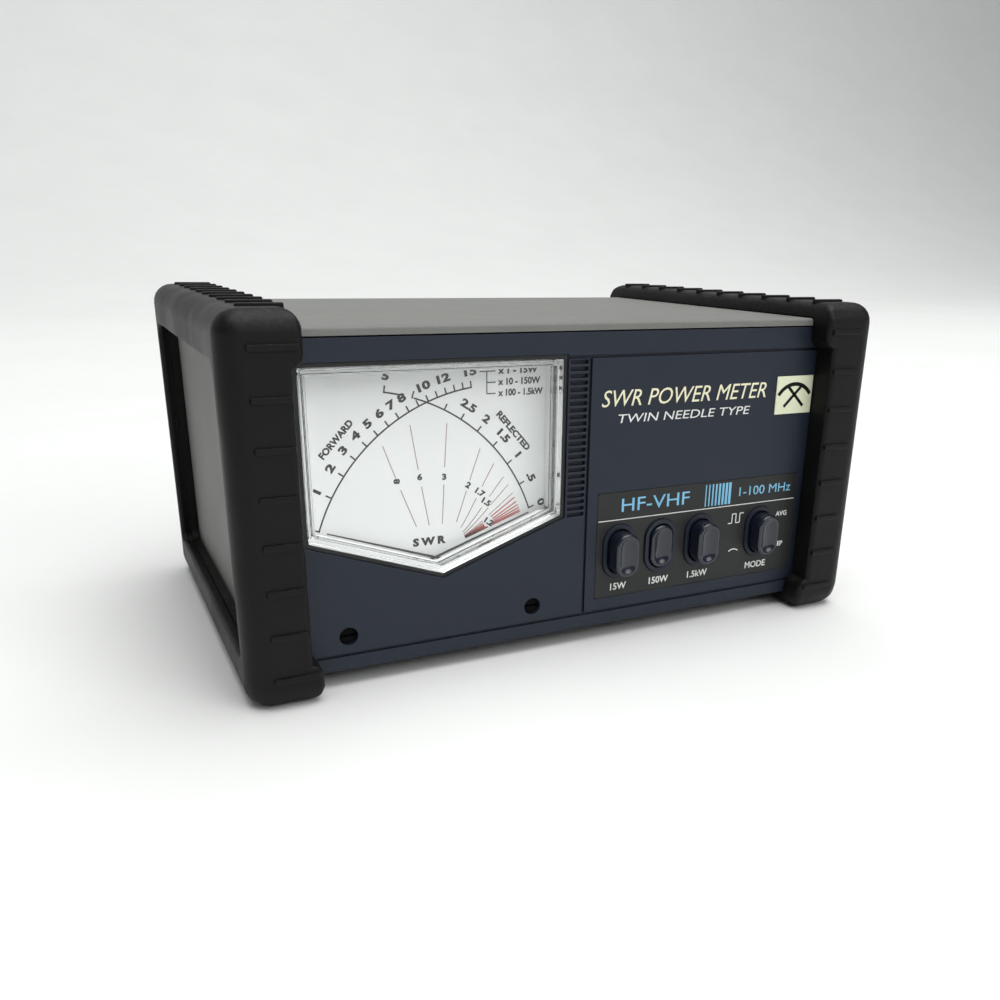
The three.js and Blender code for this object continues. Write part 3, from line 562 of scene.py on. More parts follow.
rightBumper = buildBumper(bumperLook)
leftBumper = copyOf(rightBumper, "rubber_bumper_left")
leftBumper.scale.x = -1
fixPlace(leftBumper)
choose(leftBumper, "FACE", lambda f: True)
bpy.ops.mesh.flip_normals()
done()
shadeSoft(leftBumper, 40)
settle(rightBumper, "case", finishes["rubber"], "bumper_rubber", "bumper_right")
settle(leftBumper, "case", finishes["rubber"], "bumper_rubber", "bumper_left")
print("bumpers built")


# Folded cover

coverLook = {
    "sheet": 1, "hem": 1.8, "bend": 1.8, "fold": 0.7, "gap": 0.3, "seam": 0.3, "seamFrom": 2.6,
    "edge": 0.12,
}


def buildCover(look):
    start = bezelBack + look["gap"] * mm
    cover = newBlock("folded_cover", (-caseHalf, start, caseFoot), (caseHalf, rearY, caseTop))
    choose(cover, "FACE", lambda f: abs(f.normal.y) > 0.9 or f.normal.z < -0.9)
    bpy.ops.mesh.delete(type="FACE")
    done()
    choose(cover, "EDGE", lambda e: near(middleOf(e).y, start) and near(middleOf(e).z, caseTop))
    bpy.ops.mesh.extrude_region_move(TRANSFORM_OT_translate={"value": (0, panelY - start, 0)})
    bpy.ops.mesh.extrude_region_move(TRANSFORM_OT_translate={"value": (0, 0, -look["hem"] * mm)})
    done()
    bevelEdges(cover, lambda e: runsAlongY(e) and near(abs(middleOf(e).x), caseHalf)
               and near(middleOf(e).z, caseTop), look["bend"] * mm, 6)
    bevelEdges(cover, lambda e: near(middleOf(e).y, panelY) and near(middleOf(e).z, caseTop),
               look["fold"] * mm, 4)
    useModifier(cover, "SOLIDIFY", thickness=look["sheet"] * mm, offset=-1)
    seam, seamY = look["seam"] * mm, panelY + look["seamFrom"] * mm
    cutAway(cover, [newBlock("seam", (-caseHalf - mm, seamY, caseTop - seam),
                             (caseHalf + mm, seamY + seam, caseTop + mm))])
    soften(cover, look["edge"] * mm, 2, 60)
    shadeSoft(cover, 40)
    return cover


cover = buildCover(coverLook)
settle(cover, "case", finishes["coverPaint"], "cover_paint", "top_cover")
print("cover folded")


# Moulded front with its window opening, grooves and switch collars

frontLook = {
    "lowStrip": 4, "groove": 0.7, "grooveDeep": 0.8, "glassDrop": 0.7, "toDivider": 6.5,
    "glassPoint": 10.6, "opening": 1.0, "ribbed": 4.6, "ribbedRight": 0.35, "ribbedGap": 0.95,
    "ribbedDeep": 1.1, "ribbedCount": 24, "ribbedFoot": 1, "labelFrom": 3.6, "labelMargin": 10.5,
    "labelFoot": 11.1, "labelHigh": 27.4, "labelDeep": 0.5, "buttonFit": 0.3, "collarRim": 1.1,
    "collarProud": 0.5, "collarSunk": 0.4, "adjusterBore": 2.1, "edge": 0.17,
}
dividerX = glassHigh.x + frontLook["toDivider"] * mm
upperGroove = glassHigh.z + frontLook["glassDrop"] * mm
lowerGroove = caseFoot + frontLook["lowStrip"] * mm
glassTip = glassLow.z
glassSlope = frontLook["glassPoint"] * mm / (glassHigh.x - meterX)
buttonNames = ("low_range", "mid_range", "high_range", "mode")
buttonBoxes = {name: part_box("button_" + name) for name in buttonNames}
labelLow = Vector((dividerX + frontLook["labelFrom"] * mm, panelY, frontLook["labelFoot"] * mm))
labelHigh = Vector((caseHalf - frontLook["labelMargin"] * mm, panelY,
                    (frontLook["labelFoot"] + frontLook["labelHigh"]) * mm))


def newPentagon(name, grow, y0, y1):  # the window's outline, grown all round
    shape = newBlock(name, (glassLow.x - grow, y0, glassTip - 3 * mm),
                     (glassHigh.x + grow, y1, glassHigh.z + grow))
    for side in (-1, 1):
        outward = Vector((side * glassSlope, 0, -1)).normalized()
        choose(shape, "FACE", lambda f: True)
        bpy.ops.mesh.bisect(plane_co=Vector((meterX, 0, glassTip)) + outward * grow, plane_no=outward,
                            use_fill=True, clear_outer=True)
        done()
    return shape


def newStadium(name, low, high, grow, y0, y1, sides=40):  # an upright slot shape with round ends
    x, z = middleXZ(low, high)
    radius = (high.x - low.x) / 2 + grow
    stretch = (high.z - low.z) / 2 + grow - radius
    slot = newRod(name, radius, (x, y0, z), (x, y1, z), sides)
    for side in (-1, 1):
        choose(slot, "VERT", lambda v: (v.co.z - z) * side > 0.01 * mm)
        bpy.ops.transform.translate(value=(0, 0, side * stretch))
        done()
    return slot


def buildFront(look):
    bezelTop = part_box("front_bezel")[1].z
    front = newBlock("moulded_front", (-caseHalf, panelY, caseFoot), (caseHalf, bezelBack, bezelTop))
    floor, ahead = panelY + look["grooveDeep"] * mm, panelY - mm
    groove = look["groove"] * mm
    cuts = [newPentagon("opening", look["opening"] * mm, ahead, bezelBack + mm)]
    for z in (upperGroove, lowerGroove):
        cuts.append(newBlock("groove", (-caseHalf - mm, ahead, z - groove), (caseHalf + mm, floor, z)))
    cuts.append(newBlock("divider", (dividerX, ahead, lowerGroove - groove / 2),
                         (dividerX + groove, floor, upperGroove - groove / 2)))
    labelDeep = panelY + look["labelDeep"] * mm
    cuts.append(newBlock("label_seat", (labelLow.x, ahead, labelLow.z),
                         (labelHigh.x, labelDeep, labelHigh.z)))
    ribbedRight = dividerX - look["ribbedRight"] * mm
    foot = glassTip + (look["glassPoint"] - look["ribbedFoot"]) * mm
    pitch = (upperGroove - groove - foot) / look["ribbedCount"]
    middle, half = foot + pitch / 2, look["ribbedGap"] * mm / 2
    slot = newBlock("slots", (ribbedRight - look["ribbed"] * mm, ahead, middle - half),
                    (ribbedRight, panelY + look["ribbedDeep"] * mm, middle + half))
    repeatPiece(slot, look["ribbedCount"], (0, 0, pitch))
    cuts.append(slot)
    for word in pivots:
        at = turnsAt[word + "_zero_turn"]
        cuts.append(newRod("bore", look["adjusterBore"] * mm, (at.x, ahead, at.z),
                           (at.x, bezelBack + mm, at.z), 32))
    cutAway(front, cuts)
    grow = look["buttonFit"] * mm
    collars = []
    for low, high in buttonBoxes.values():
        collars.append(newStadium("collar", low, high, grow + look["collarRim"] * mm,
                                  panelY - look["collarProud"] * mm, labelDeep + look["collarSunk"] * mm))
    unite(front, joinAll("collars", collars))
    cutAway(front, [newStadium("bore", low, high, grow, panelY - 3 * mm, bezelBack + mm)
                    for low, high in buttonBoxes.values()])
    soften(front, look["edge"] * mm, 2, 50)
    shadeSoft(front, 40)
    return front


settle(buildFront(frontLook), "case", finishes["panelPlastic"], "bezel_plastic", "front_bezel")

shadowRingLook = {"outside": 0.95, "inside": 0.06, "sunk": 0.55, "edge": 0.1}


def buildGasket(look):  # black ring sunk round the window: painted shade, standing for the shaded gap between window and bezel
    shadowRing = newPentagon("window_shadow_ring", look["outside"] * mm, panelY + look["sunk"] * mm, bezelBack)
    cutAway(shadowRing, [newPentagon("inside", look["inside"] * mm, panelY - mm, bezelBack + mm)])
    soften(shadowRing, look["edge"] * mm, 2, 30)
    shadeSoft(shadowRing, 30)
    return shadowRing


# the black ring in the gap round the window is painted shade
settle(buildGasket(shadowRingLook), "case", finishes["blackPlastic"], "housing_plastic")
print("front moulded")


# Clear window

windowLook = {"wall": 1.5, "edge": 0.7, "inside": 0.25}


def buildWindow(look):
    window = newPentagon("clear_window", 0, glassLow.y, glassHigh.y)
    choose(window, "FACE", lambda f: f.normal.y > 0.9)
    bpy.ops.mesh.inset(thickness=look["wall"] * mm)
    deep = glassHigh.y - glassLow.y - look["wall"] * mm
    bpy.ops.mesh.extrude_region_move(TRANSFORM_OT_translate={"value": (0, -deep, 0)})
    done()
    bevelEdges(window, liesAt(glassLow.y), look["edge"] * mm, 4)
    soften(window, look["inside"] * mm, 2, 50)
    shadeSoft(window, 40)
    return window


settle(buildWindow(windowLook), "case", finishes["clearPlastic"], "clear_plastic", "meter_window")

surroundLook = {
    "grow": 0.6, "wall": 0.9, "ledge": 2.2, "gap": 0.1, "lip": 1.1, "round": 0.15, "toShoulder": 0.4,
}


def buildSurround(look):  # white frame between the window and the dial, open below for the pointers
    y0, y1 = glassHigh.y + look["gap"] * mm, dialLow.y - 0.5 * look["gap"] * mm
    shoulder = glassTip + (frontLook["glassPoint"] + look["toShoulder"]) * mm
    wide, rings = 2 * mm, []
    for thick, back, z0, z1 in (("wall", y1, glassTip - 5 * mm, shoulder),
                                ("ledge", y0 + look["lip"] * mm, shoulder, glassHigh.z + wide)):
        ring = newPentagon(thick, look["grow"] * mm, y0, back)
        left = newBlock("left_out", (glassLow.x - wide, y0 - mm, z0), (glassHigh.x + wide, y1 + mm, z1))
        cutAway(ring, [newPentagon("inside", (look["grow"] - look[thick]) * mm, y0 - mm, y1 + mm)])
        cutAway(ring, [left])
        rings.append(ring)
    surround = joinAll("dial_surround", rings)
    soften(surround, look["round"] * mm, 2, 30)
    shadeSoft(surround, 30)
    return surround


settle(buildSurround(surroundLook), "case", finishes["dialCard"], "dial_card")
print("window made")


# Printing: flat strokes and letters a few hundredths of a millimetre thick

inkThick = 0.03 * mm


def newStrokes(name, y, lines):  # each line is x0, z0, x1, z1, width
    pickNothing()
    for count, (x0, z0, x1, z1, width) in enumerate(lines):
        bpy.ops.mesh.primitive_cube_add(
            size=1, location=((x0 + x1) / 2, y - inkThick / 2, (z0 + z1) / 2),
            rotation=(0, -math.atan2(z1 - z0, x1 - x0), 0),
            scale=(math.hypot(x1 - x0, z1 - z0), inkThick, width))
        if count == 0:
            fixPlace(bpy.context.object)
            bpy.ops.object.mode_set(mode="EDIT")
    done()
    strokes = bpy.context.object
    strokes.name = name
    return strokes


def newWord(y, words, x, z, size, turn=0, align="CENTER", fit=None, lean=0.0, heavy=0.0, wide=1.0):
    pickNothing()
    bpy.ops.object.text_add()
    word = bpy.context.object
    word.data.body = words
    word.data.align_x = align
    word.data.align_y = "CENTER"
    word.data.shear = lean
    word.data.offset = heavy
    word.data.resolution_u = 3
    word.data.extrude = 0.5
    bpy.ops.object.convert(target="MESH")
    word = bpy.context.object
    across = size * wide if fit is None else fit / word.dimensions.x
    word.scale = (across, size, inkThick)
    fixPlace(word)
    upright = Matrix.Rotation(math.pi / 2, 3, "X")
    word.rotation_euler = (Matrix.Rotation(-turn, 3, "Y") @ upright).to_euler()
    word.location = (x, y - inkThick / 2, z)
    return fixPlace(word)


def newArc(y, pivot, radius, start, end, width, steps=48):  # a flat bar spun about its pivot
    pickNothing()
    middle = Vector((pivot[0], y - inkThick / 2, pivot[1]))
    bpy.ops.mesh.primitive_plane_add(size=1, location=middle + Vector((radius, 0, 0)))
    arc = bpy.context.object
    arc.scale = (width, inkThick, 1)
    fixPlace(arc)
    choose(arc, "FACE", lambda f: True)
    bpy.ops.mesh.spin(steps=steps, angle=end - start, center=middle, axis=(0, 1, 0))
    bpy.ops.mesh.select_all(action="SELECT")
    bpy.ops.mesh.normals_make_consistent(inside=False)
    done()
    turn = Matrix.Translation(middle) @ Matrix.Rotation(-start, 4, "Y") @ Matrix.Translation(-middle)
    arc.matrix_world = turn
    return fixPlace(arc)


# Dial printing

dialLook = {
    "radius": 44.8, "line": 0.36, "tick": 1.5, "numberOut": 3.5, "number": 2.45,
    "forwardStart": 161.3, "forwardSweep": 63.9, "forwardFull": 15, "diode": 0.5,
    "reflectedStart": 18.9, "reflectedSweep": 62.4, "reflectedFull": 5, "bend": 0.4,
    "ratioLine": 0.2, "ratioReach": 42.4, "ratioFoot": 32.8, "ratioNear": 27,
    "word": 2.1, "gapFrom": 3.95, "gapTo": 4.4,
    "bracket": (-21.5, 67.8), "bracketStep": 2.55, "bracketBar": 2.2, "bracketLead": 1.8,
    "forwardWord": (-57.1, 54.5, 47, 10.4),  # x, z, turn and length
    "reflectedWord": (-14.7, 53.6, -49, 12.2),
    "ratioWord": (-0.2, 28.9, 8.2), "ratioNumber": 1.9, "redLine": 0.32, "clearGrey": 1.6, "clearRed": 1.3,
}
ratioLabels = (  # ratio, what is printed, how high it stands, and its slant in degrees
    (None, "8", 44, 90), (6, "6", 44.6, 0), (3, "3", 44.1, 0), (2, "2", 41.5, -35),
    (1.7, "1.7", 39.6, -35), (1.5, "1.5", 37.3, -35), (1.2, "1.2", 33, -35),
)


def forwardAngle(power):  # the needle follows the root of the power, flattened by the diode
    look = dialLook
    low, full = math.sqrt(look["diode"]), math.sqrt(look["forwardFull"] + look["diode"])
    share = (math.sqrt(power + look["diode"]) - low) / (full - low)
    return math.radians(look["forwardStart"] - look["forwardSweep"] * share)


def reflectedAngle(power):
    look = dialLook
    share = power / look["reflectedFull"]
    share = (1 + look["bend"]) * share - look["bend"] * share * share
    return math.radians(look["reflectedStart"] + look["reflectedSweep"] * share)


def onDial(word, angle, radius):
    pivot = pivots[word]
    return pivot.x + radius * math.cos(angle), pivot.z + radius * math.sin(angle)


def crossingOf(ratio, power):  # where the needles cross at this forward power and SWR
    bounce = 1 if ratio is None else (ratio - 1) / (ratio + 1)
    f, r = forwardAngle(power), reflectedAngle(power * bounce * bounce)
    gap = pivots["forward"].x - pivots["reflected"].x
    along = gap * math.sin(f) / math.sin(f - r)
    return onDial("reflected", r, along)


def ratioLines(ratio, width, steps=26):  # one line of constant SWR, in short straight strokes
    look = dialLook
    points = []
    for i in range(1, 40 * steps):
        x, z = crossingOf(ratio, look["forwardFull"] * i / (8 * steps))
        reach = [math.hypot(x - p.x, z - p.z) / mm for p in pivots.values()]
        started = z / mm > look["ratioFoot"] or reach[1] > look["ratioNear"]
        if started and max(reach) < look["ratioReach"]:
            points.append((x, z))
        elif points:
            break
    points = points[::6] + points[-1:]
    return [(*a, *b, width) for a, b in zip(points, points[1:]) if a != b]


def clearOf(strokes, places, room):  # leaves out the strokes that would run through a number
    return [s for s in strokes if all(math.hypot((s[0] + s[2]) / 2 - x, (s[1] + s[3]) / 2 - z) > room
                                      for x, z in places)]


def scaleArcs(look, y, line):
    radius = look["radius"] * mm
    ends = [("forward", forwardAngle(look["forwardFull"]), forwardAngle(0), 48),
            ("reflected", reflectedAngle(0), reflectedAngle(look["gapFrom"]), 48),
            ("reflected", reflectedAngle(look["gapTo"]), reflectedAngle(look["reflectedFull"]), 12)]
    return [newArc(y, (pivots[word].x, pivots[word].z), radius, start, end, line, steps)
            for word, start, end, steps in ends]


def scaleNumbers(look, y):
    out = (look["radius"] + look["numberOut"]) * mm
    marks = [("forward", forwardAngle(power), str(power), 1.5)
             for power in (1, 2, 3, 4, 5, 6, 7, 8, 10, 12, 15)]
    marks += [("reflected", reflectedAngle(float(text)), text, 1.35)
              for text in ("0", ".5", "1", "1.5", "2", "2.5", "5")]
    return [newWord(y, text, *onDial(word, angle, out), look["number"] * mm, angle - math.pi / 2,
                    heavy=0.05, wide=wide) for word, angle, text, wide in marks]


def buildDialPrinting(look):
    y = dialLow.y
    radius, line = look["radius"] * mm, look["line"] * mm
    black = scaleArcs(look, y, line)
    ticks = []
    marks = [("forward", forwardAngle(p)) for p in range(look["forwardFull"] + 1)]
    marks += [("reflected", reflectedAngle(p)) for p in (0, 0.5, 1, 1.5, 2, 2.5, 3, 4, 5)]
    for word, angle in marks:
        ticks.append((*onDial(word, angle, radius - line / 2),
                      *onDial(word, angle, radius + look["tick"] * mm), line))
    left, top = [value * mm for value in look["bracket"]]
    rows = [top - look["bracketStep"] * mm * k for k in range(3)]
    ticks.append((left, top, left, rows[-1], line * 0.7))
    for z in rows:
        lead = look["bracketLead"] * mm if z == top else 0
        ticks.append((left - lead, z, left + look["bracketBar"] * mm, z, line * 0.7))
    black.append(newStrokes("ticks", y, ticks))
    black += scaleNumbers(look, y)
    for text in ("FORWARD", "REFLECTED"):
        x, z, turn, length = look[text.lower() + "Word"]
        black.append(newWord(y, text, x * mm, z * mm, look["word"] * mm, math.radians(turn),
                             fit=length * mm, heavy=0.045))
    x, z, length = look["ratioWord"]
    black.append(newWord(y, "S W R", meterX + x * mm, z * mm, look["number"] * mm, fit=length * mm,
                         heavy=0.06))
    for k, text in enumerate(("x 1 - 15W", "x 10 - 150W", "x 100 - 1.5kW")):
        black.append(newWord(y, text, left + 3 * mm, rows[k], look["word"] * mm, align="LEFT",
                             fit=(10.2 + k * 0.7) * mm, heavy=0.04))
    labels = []
    for ratio, text, level, slant in ratioLabels:
        x, z = min((crossingOf(ratio, look["forwardFull"] * i / 300) for i in range(3, 300)),
                   key=lambda at: abs(at[1] - level * mm) if at[0] > meterX - 12 * mm else 1)
        labels.append((x, z))
        black.append(newWord(y - 0.01 * mm, text, x, z, look["ratioNumber"] * mm, math.radians(slant),
                             heavy=0.05, wide=1.2))
    grey, red = [], []
    for ratio in (None, 6, 3, 2, 1.7, 1.5, 1.4, 1.3):
        grey += ratioLines(ratio, look["ratioLine"] * mm)
    for ratio in (1.25, 1.2, 1.16, 1.12, 1.08, 1.04):
        red += ratioLines(ratio, look["redLine"] * mm)
    return (joinAll("dial_black_print", black),
            newStrokes("dial_grey_print", y, clearOf(grey, labels, look["clearGrey"] * mm)),
            newStrokes("dial_red_print", y, clearOf(red, labels[-1:], look["clearRed"] * mm)))


dialPieces = buildDialPrinting(dialLook)
for piece, ink in zip(dialPieces, ("blackInk", "greyInk", "redInk")):
    settle(piece, "case", finishes[ink], "dial_card")
print("dial printed")


# Pointers

pointerLook = {
    "hub": 1.8, "long": 43.5, "root": 0.75, "tip": 0.26, "thick": 0.3, "tail": 6.2, "tailHigh": 0.9,
    "weight": 2.2, "rest": {"forward": 161, "reflected": 19},  # degrees
}


def buildPointer(word, look):
    low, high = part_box("needle_" + word)
    middle, half = (low.y + high.y) / 2, look["thick"] * mm / 2
    y0, y1 = middle - half, middle + half
    root, tail, tailHalf = look["root"] * mm / 2, -look["tail"] * mm, look["tailHigh"] * mm / 2
    hubEdge = look["hub"] * 0.5 * mm
    blade = newBlock("blade", (hubEdge, y0, -root), (look["long"] * mm, y1, root))
    choose(blade, "FACE", lambda f: f.normal.x > 0.9)
    bpy.ops.transform.resize(value=(1, 1, look["tip"] / look["root"]),
                             center_override=(look["long"] * mm, middle, 0))
    done()
    parts = [blade, newBlock("tail", (tail, y0, -tailHalf), (-hubEdge, y1, tailHalf))]
    for name, radius, x, ahead, behind, sides in (
            ("weight", look["weight"] / 2, tail, 0.05, 0.05, 24), ("hub", look["hub"], 0, 0.1, 0.1, 40),
            ("boss", look["hub"] * 0.45, 0, 0.4, 0, 24)):
        parts.append(newRod(name, radius * mm, (x, y0 - ahead * mm, 0), (x, y1 + behind * mm, 0), sides))
    pointer = joinAll("pointer_" + word, parts)
    soften(pointer, 0.06 * mm, 2, 50)
    pointer.rotation_euler = (0, -math.radians(look["rest"][word]), 0)
    pointer.location = (pivots[word].x, 0, pivots[word].z)
    fixPlace(pointer)
    shadeSoft(pointer, 40)
    return pointer


for word in pivots:
    settle(buildPointer(word, pointerLook), word + "_pointer", finishes["needlePaint"], "needle_paint",
           "needle_" + word)
print("pointers hung")


# Push buttons

buttonLook = {
    "cap": 6.8, "rim": 0.8, "round": 0.65, "step": 0.44, "dish": (0.3, 0.24, 0.17, 0.1, 0.04),
    "stem": 4, "stemRound": 0.25, "stemIn": 0.4,
}


def buildButton(name, look):
    low, high = buttonBoxes[name]
    back = low.y + look["cap"] * mm
    cap = newStadium("push_" + name, low, high, 0, low.y, back, 48)
    choose(cap, "FACE", lambda f: f.normal.y < -0.9)
    bpy.ops.mesh.inset(thickness=look["rim"] * mm)
    for drop in look["dish"]:  # a hollow for the fingertip
        bpy.ops.mesh.inset(thickness=look["step"] * mm, depth=-drop * mm)
    done()
    bevelEdges(cap, lambda e: liesAt(low.y)(e) and abs(e.calc_face_angle(0)) > 1, look["round"] * mm, 4)
    half, (x, z) = look["stem"] / 2 * mm, middleXZ(low, high)
    stem = newBlock("stem", (x - half, back - look["stemIn"] * mm, z - half), (x + half, high.y, z + half))
    soften(stem, look["stemRound"] * mm, 2)
    button = joinAll("push_" + name, [cap, stem])
    shadeSoft(button, 40)
    return button


for name in buttonNames:
    settle(buildButton(name, buttonLook), name + "_button", finishes["buttonPlastic"], "button_plastic",
           "button_" + name)
print("buttons made")


# Label, badge and the front's printing

labelLook = {"thick": 0.32, "corner": 0.6, "buttonGap": 0.15, "edgeGap": 0.1, "glue": 0.05}


def buildLabel(look):
    rim = (frontLook["buttonFit"] + frontLook["collarRim"] + look["buttonGap"]) * mm
    y1 = panelY + (frontLook["labelDeep"] - look["glue"]) * mm
    y0, gap = y1 - look["thick"] * mm, look["edgeGap"] * mm
    label = newBlock("printed_label", (labelLow.x + gap, y0, labelLow.z + gap),
                     (labelHigh.x - gap, y1, labelHigh.z - gap))
    bevelEdges(label, runsAlongY, look["corner"] * mm, 4)
    cutAway(label, [newStadium("hole", low, high, rim, y0 - mm, y1 + mm)
                    for low, high in buttonBoxes.values()])
    shadeSoft(label, 30)
    return label, y0


label, labelFace = buildLabel(labelLook)
settle(label, "case", finishes["labelFilm"], "label_film", "control_label")


printLook = {
    "title": ("SWR POWER METER", 28.4, 61.2, 5.6, 49, 0.25),  # words, x, z, size, length, slant
    "subtitle": ("TWIN NEEDLE TYPE", 28.2, 56.4, 3.0, 39.5, 0.15),
    "band": ("HF-VHF", 21.1, 34.7, 4.9, 20.4, 0), "range": ("1-100 MHz", 55.8, 34.7, 3.5, 17.4, 0),
    "buttons": ("15W", "150W", "1.5kW", "MODE"), "buttonsZ": 13.6, "buttonsSize": 2.5,
    "modes": (("AVG", 27.3), ("PEP", 18.6)), "modesX": 62.7, "modesSize": 1.9,
    "rule": 31.3, "ruleEnd": 0.4, "ruleWide": 0.22, "line": 0.28,
    "pulse": ((-2, 0), (-1, 0), (-1, 2), (0, 2), (0, 0), (1, 0), (1, 2), (2, 2)), "pulseStep": 1.25,
    "pulseAt": (47.1, 26.4), "archAt": (47.1, 16.6), "archRadius": 2.4,
    "bars": 8, "barsX": 36.6, "barsPitch": 1.1, "barsZ": (31.9, 37.7), "barsWide": (0.3, 0.07),
}


def buildFrontPrinting(look):
    def legend(y, key):
        words, x, z, size, length, slant = look[key]
        return newWord(y, words, x * mm, z * mm, size * mm, fit=length * mm, lean=slant)

    cream, white = [legend(panelY, "title")], [legend(panelY, "subtitle")]
    y = labelFace
    for (low, high), words in zip(buttonBoxes.values(), look["buttons"]):
        white.append(newWord(y, words, (low.x + high.x) / 2, look["buttonsZ"] * mm,
                             look["buttonsSize"] * mm, heavy=0.02))
    for words, z in look["modes"]:
        white.append(newWord(y, words, look["modesX"] * mm, z * mm, look["modesSize"] * mm, heavy=0.02))
    line, end, rule = look["line"] * mm, look["ruleEnd"] * mm, look["rule"] * mm
    strokes = [(labelLow.x + end, rule, labelHigh.x - end, rule, look["ruleWide"] * mm)]
    points = [[(at + way * look["pulseStep"]) * mm for at, way in zip(look["pulseAt"], corner)]
              for corner in look["pulse"]]
    strokes += [(*a, *b, line) for a, b in zip(points, points[1:])]
    white.append(newStrokes("strokes", y, strokes))
    arch = [value * mm for value in look["archAt"]]
    white.append(newArc(y, arch, look["archRadius"] * mm, math.radians(50), math.radians(130), line, 14))
    blue = [legend(y, "band"), legend(y, "range")]
    bars, (foot, top), (thin, wider) = [], look["barsZ"], look["barsWide"]
    for i in range(look["bars"]):
        x = (look["barsX"] + i * look["barsPitch"]) * mm
        bars.append((x, foot * mm, x, top * mm, (thin + wider * i) * mm))
    blue.append(newStrokes("bars", y, bars))
    return joinAll("title_print", cream), joinAll("legend_print", white), joinAll("blue_print", blue)


for piece, ink in zip(buildFrontPrinting(printLook), ("creamInk", "whiteInk", "blueInk")):
    settle(piece, "case", finishes[ink], "label_film")


badgeLook = {
    "foot": 1.9, "edge": 0.1, "arc": 6.4, "arcDrop": 0.6, "arcWide": 1.0, "hand": (3.2, 2, 5),
    "handWide": 0.8,
}


def buildBadge(look):  # plain plate with two crossed pointers under an arc
    low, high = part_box("emblem_plate")
    badge = newBlock("badge", low, high)
    soften(badge, look["edge"] * mm, 2)
    shadeSoft(badge, 30)
    x, foot = (low.x + high.x) / 2, low.z + look["foot"] * mm
    out, across, up = [value * mm for value in look["hand"]]
    wide = look["handWide"] * mm
    glyph = [newArc(low.y, (x, foot - look["arcDrop"] * mm), look["arc"] * mm, math.radians(35),
                    math.radians(145), look["arcWide"] * mm, 24),
             newStrokes("hands", low.y, [(x - way * out, foot, x + way * across, foot + up, wide)
                                         for way in (1, -1)])]
    return badge, joinAll("badge_print", glyph)


badge, badgePrint = buildBadge(badgeLook)
settle(badge, "case", finishes["badgePlate"], "badge_plate", "emblem_plate")
settle(badgePrint, "case", finishes["blackInk"], "badge_plate")
print("front lettered")


# Rear sockets, screws and jack

socketLook = {
    "flange": 2, "corner": 1.8, "hole": 1.65, "holeSpread": 9.1, "seat": 0.1, "edge": 0.15,
    "thread": 7.9, "pitch": 1.058, "chamfer": 0.45, "ridges": 11, "firstRidge": 3.9, "bore": 6.1,
    "mouth": 0.5, "notch": 1.7, "notchDeep": 1.0, "plugRound": 0.4, "plugStep": 1.2, "plugEdge": 0.12,
    "pin": 2.3, "pinFit": 0.1, "pinBore": 1.8, "pinBoreDeep": 8, "slit": 0.5, "slitDeep": 6, "pinEdge": 0.1,
}


def buildSocketShell(word, look):  # square flange with a threaded barrel
    low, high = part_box(word + "_socket_shell")
    x, z = middleXZ(low, high)
    seat = rearY + look["seat"] * mm
    flange = newBlock("flange", (low.x, seat, low.z), (high.x, seat + look["flange"] * mm, high.z))
    bevelEdges(flange, runsAlongY, look["corner"] * mm, 5)
    spread, hole = look["holeSpread"] * mm, look["hole"] * mm
    cutAway(flange, [newRod("hole", hole, (x + a * spread, seat - mm, z + b * spread),
                            (x + a * spread, seat + 4 * mm, z + b * spread), 24)
                     for a in (-1, 1) for b in (-1, 1)])
    soften(flange, look["edge"] * mm, 2, 50)
    crest, chamfer = look["thread"] * mm, look["chamfer"] * mm
    core = newRod("core", crest - chamfer, (x, low.y, z), (x, high.y, z), 64)
    start, pitch = rearY + look["firstRidge"] * mm, look["pitch"] * mm
    ridge = newRod("ridge", crest, (x, start, z), (x, start + pitch * 0.96, z), 64)
    soften(ridge, chamfer, 1, 60)
    repeatPiece(ridge, look["ridges"], (0, pitch, 0))
    unite(core, ridge)
    bore = look["bore"] * mm
    cutAway(core, [newRod("bore", bore, (x, low.y - mm, z), (x, high.y + mm, z), 64)])
    bevelEdges(core, lambda e: liesAt(high.y)(e)
               and all(near(math.hypot(v.co.x - x, v.co.z - z), bore) for v in e.verts),
               look["mouth"] * mm, 2)
    notch, deep, reach = look["notch"] / 2 * mm, look["notchDeep"] * mm, crest + mm
    for wide, tall in ((reach, notch), (notch, reach)):
        cutAway(core, [newBlock("notch", (x - wide, high.y - deep, z - tall),
                                (x + wide, high.y + mm, z + tall))])
    shell = joinAll(word + "_threaded_shell", [flange, core])
    shadeSoft(shell, 35)
    return shell


def buildSocketPlug(word, look):  # insulator with a raised middle
    low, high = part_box(word + "_socket_insulator")
    x, z = middleXZ(low, high)
    plug = newRod(word + "_insulating_plug", high.x - x, (x, low.y, z), (x, high.y, z), 64)
    choose(plug, "FACE", lambda f: f.normal.y > 0.9)
    bpy.ops.mesh.inset(thickness=look["plugStep"] * mm)
    bpy.ops.mesh.inset(thickness=look["plugRound"] * mm, depth=-look["plugRound"] * mm)
    done()
    hole = (look["pin"] + look["pinFit"]) * mm
    cutAway(plug, [newRod("hole", hole, (x, low.y - mm, z), (x, high.y + mm, z), 48)])
    soften(plug, look["plugEdge"] * mm, 2, 50)
    shadeSoft(plug, 35)
    return plug


